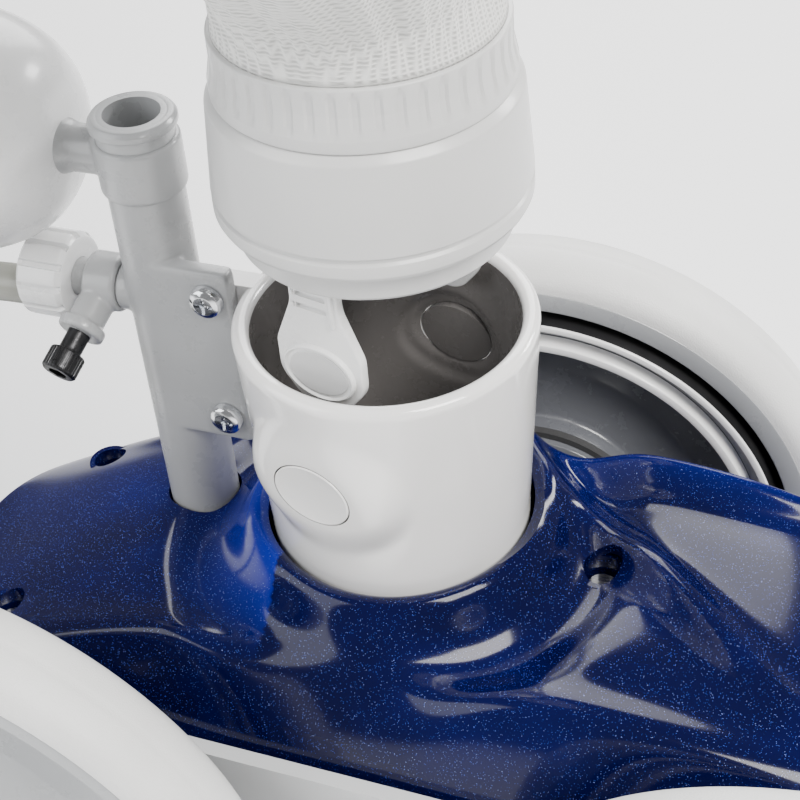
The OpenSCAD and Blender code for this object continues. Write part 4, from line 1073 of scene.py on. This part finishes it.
def makeFloat(spec):
    x, y, z = corners("float_front")[0][0], middle("float_front")[1], middle("float_front")[2]
    a = np.linspace(-90, 90, 97) * math.pi / 180
    outline = np.stack([spec["floatR"] * np.cos(a).clip(0) ** 0.62, spec["floatHalf"] * np.sin(a)], -1)
    outline[48, 0] -= 0.25
    obj = revolve("poolFloat", outline, (x, y, z), (1, 0, 0), 192, floatWhite)
    smoothByAngle(obj, 50)
    settle(obj, "body", "float_white", "float_front", "float_back")
    clipLow, clipHigh = corners("float_clip")
    px, py = pipeAt
    end = x + spec["floatHalf"] - 2.2
    neck = [(0, 0), (7.4, 0), (7.4, 1.4), (6.6, 2.2), (6.6, 3.2), (6, 4), (6, px - end), (0, px - end)]
    parts = [rod("sleeve", (px, py, clipLow[2]), (0, 0, 1), 10.7, clipHigh[2] - clipLow[2], 96, 0.6),
             revolve("neck", neck, (end, py, z - 1), (1, 0, 0), 64)]
    clip = melt("floatClip", parts, 0.5, 8, pipeGrey)
    cutWith(clip, [rod("cut", (px, py, z - 40), (0, 0, 1), 9.62, 80, 96, 0.1)])
    smoothByAngle(clip, 40)
    return settle(clip, "body", "pipe_grey", "float_clip")


def makeHoseFittings(spec):
    px, py = pipeAt
    z = rimZ - spec["hoseDrop"]
    barb = px - spec["r"] - 5
    t1, t3 = math.radians(115.6), math.radians(260.4)
    out = np.array([math.sin(t1) * math.cos(t3), math.sin(t1) * math.sin(t3), math.cos(t1)])
    at = np.array([barb - 2, py, z])
    parts = [rod("collar", (barb + 3, py, z), (-1, 0, 0), 7.6, 9, 72, 0.5),
             rod("barb", (barb + 3, py, z), (-1, 0, 0), 5, 16, 72, 0.4),
             rod("boss", at, out, 4.8, 14, 64, 0.3), rod("lip", at + out * 13.2, out, 6.2, 3, 64, 0.5)]
    obj = melt("hoseBarb", parts, 0.4, 5, pipeGrey)
    cutWith(obj, [rod("cut", (barb + 6, py, z), (-1, 0, 0), 2.6, 30, 48, 0.1),
        rod("cut", at, out, 3.05, 40, 48, 0.1)])
    smoothByAngle(obj, 40)
    settle(obj, "body", "pipe_grey", "hose_barb")

    low, high = corners("hose_nut")
    r, w = (high[2] - low[2]) / 2, high[0] - low[0]
    outline = [(5.02, 0), (r - 1.2, 0), (r, 1.2), (r, w - 1.2), (r - 1.2, w), (5.3, w), (5.3, 7.2), (5.02, 7)]
    notch = lambda rr, h, ang: rr - 1.5 * (rr > r - 0.6) * (np.cos(ang * 12) < -0.55)
    obj = revolve("hoseNut", denseOutline(filleted(outline, [0.2, 0.4, 0.4, 0.4, 0.4, 0.3, 0.1, 0.1], 3),
        1.0), (high[0], py, z), (-1, 0, 0),
                  288, wheelRing, notch)
    smoothByAngle(obj, 35)
    settle(obj, "body", "pipe_grey", "hose_nut")

    outline = [(0, 4), (2.6, 4), (3, 4.4), (3, 22), (4.4, 22), (4.7, 22.4), (4.7, 27.4), (4.1, 28), (0, 28)]
    knurl = lambda rr, h, ang: rr - 0.16 * (rr > 4.6) * (np.cos(ang * 30) > 0)
    screw = revolve("adjustingScrew", denseOutline(filleted(outline,
        [0, 0.1, 0.2, 0.2, 0.2, 0.2, 0.3, 0.3, 0], 3), 0.9), at, out, 240, blackSteel, knurl)
    cutWith(screw, [rod("cut", at + out * 24.6, out, 2.7, 8, 6, 0.05)])
    smoothByAngle(screw, 30)
    settle(screw, "hose_screw", "black_steel", "adjusting_screw")


makePipe(pipeSpec)
makeFlangeScrews(pipeSpec)
makeFloat(pipeSpec)
makeHoseFittings(pipeSpec)
print("pipe done")


def makeFloor(tint):
    mat, tree, shader = newMaterial("floorPale")
    slow = texture(tree, "Noise", objectCoords(tree), Scale=3.0, Detail=3.0)
    dark = tuple(c * 0.985 for c in tint)
    tree.links.new(ramp(tree, slow.outputs["Fac"], [(0.3, dark), (0.7, tint)]), shader.inputs["Base Color"])
    shader.inputs["Roughness"].default_value = 0.6
    shader.inputs["Emission Color"].default_value = (1, 1, 1, 1)
    shader.inputs["Emission Strength"].default_value = 0.3
    obj = meshObject("floor", [(-4000, -4000, 0), (4000, -4000, 0), (4000, 4000, 0), (-4000, 4000, 0)],
        [(0, 1, 2, 3)], mat)


makeFloor(floorTint)
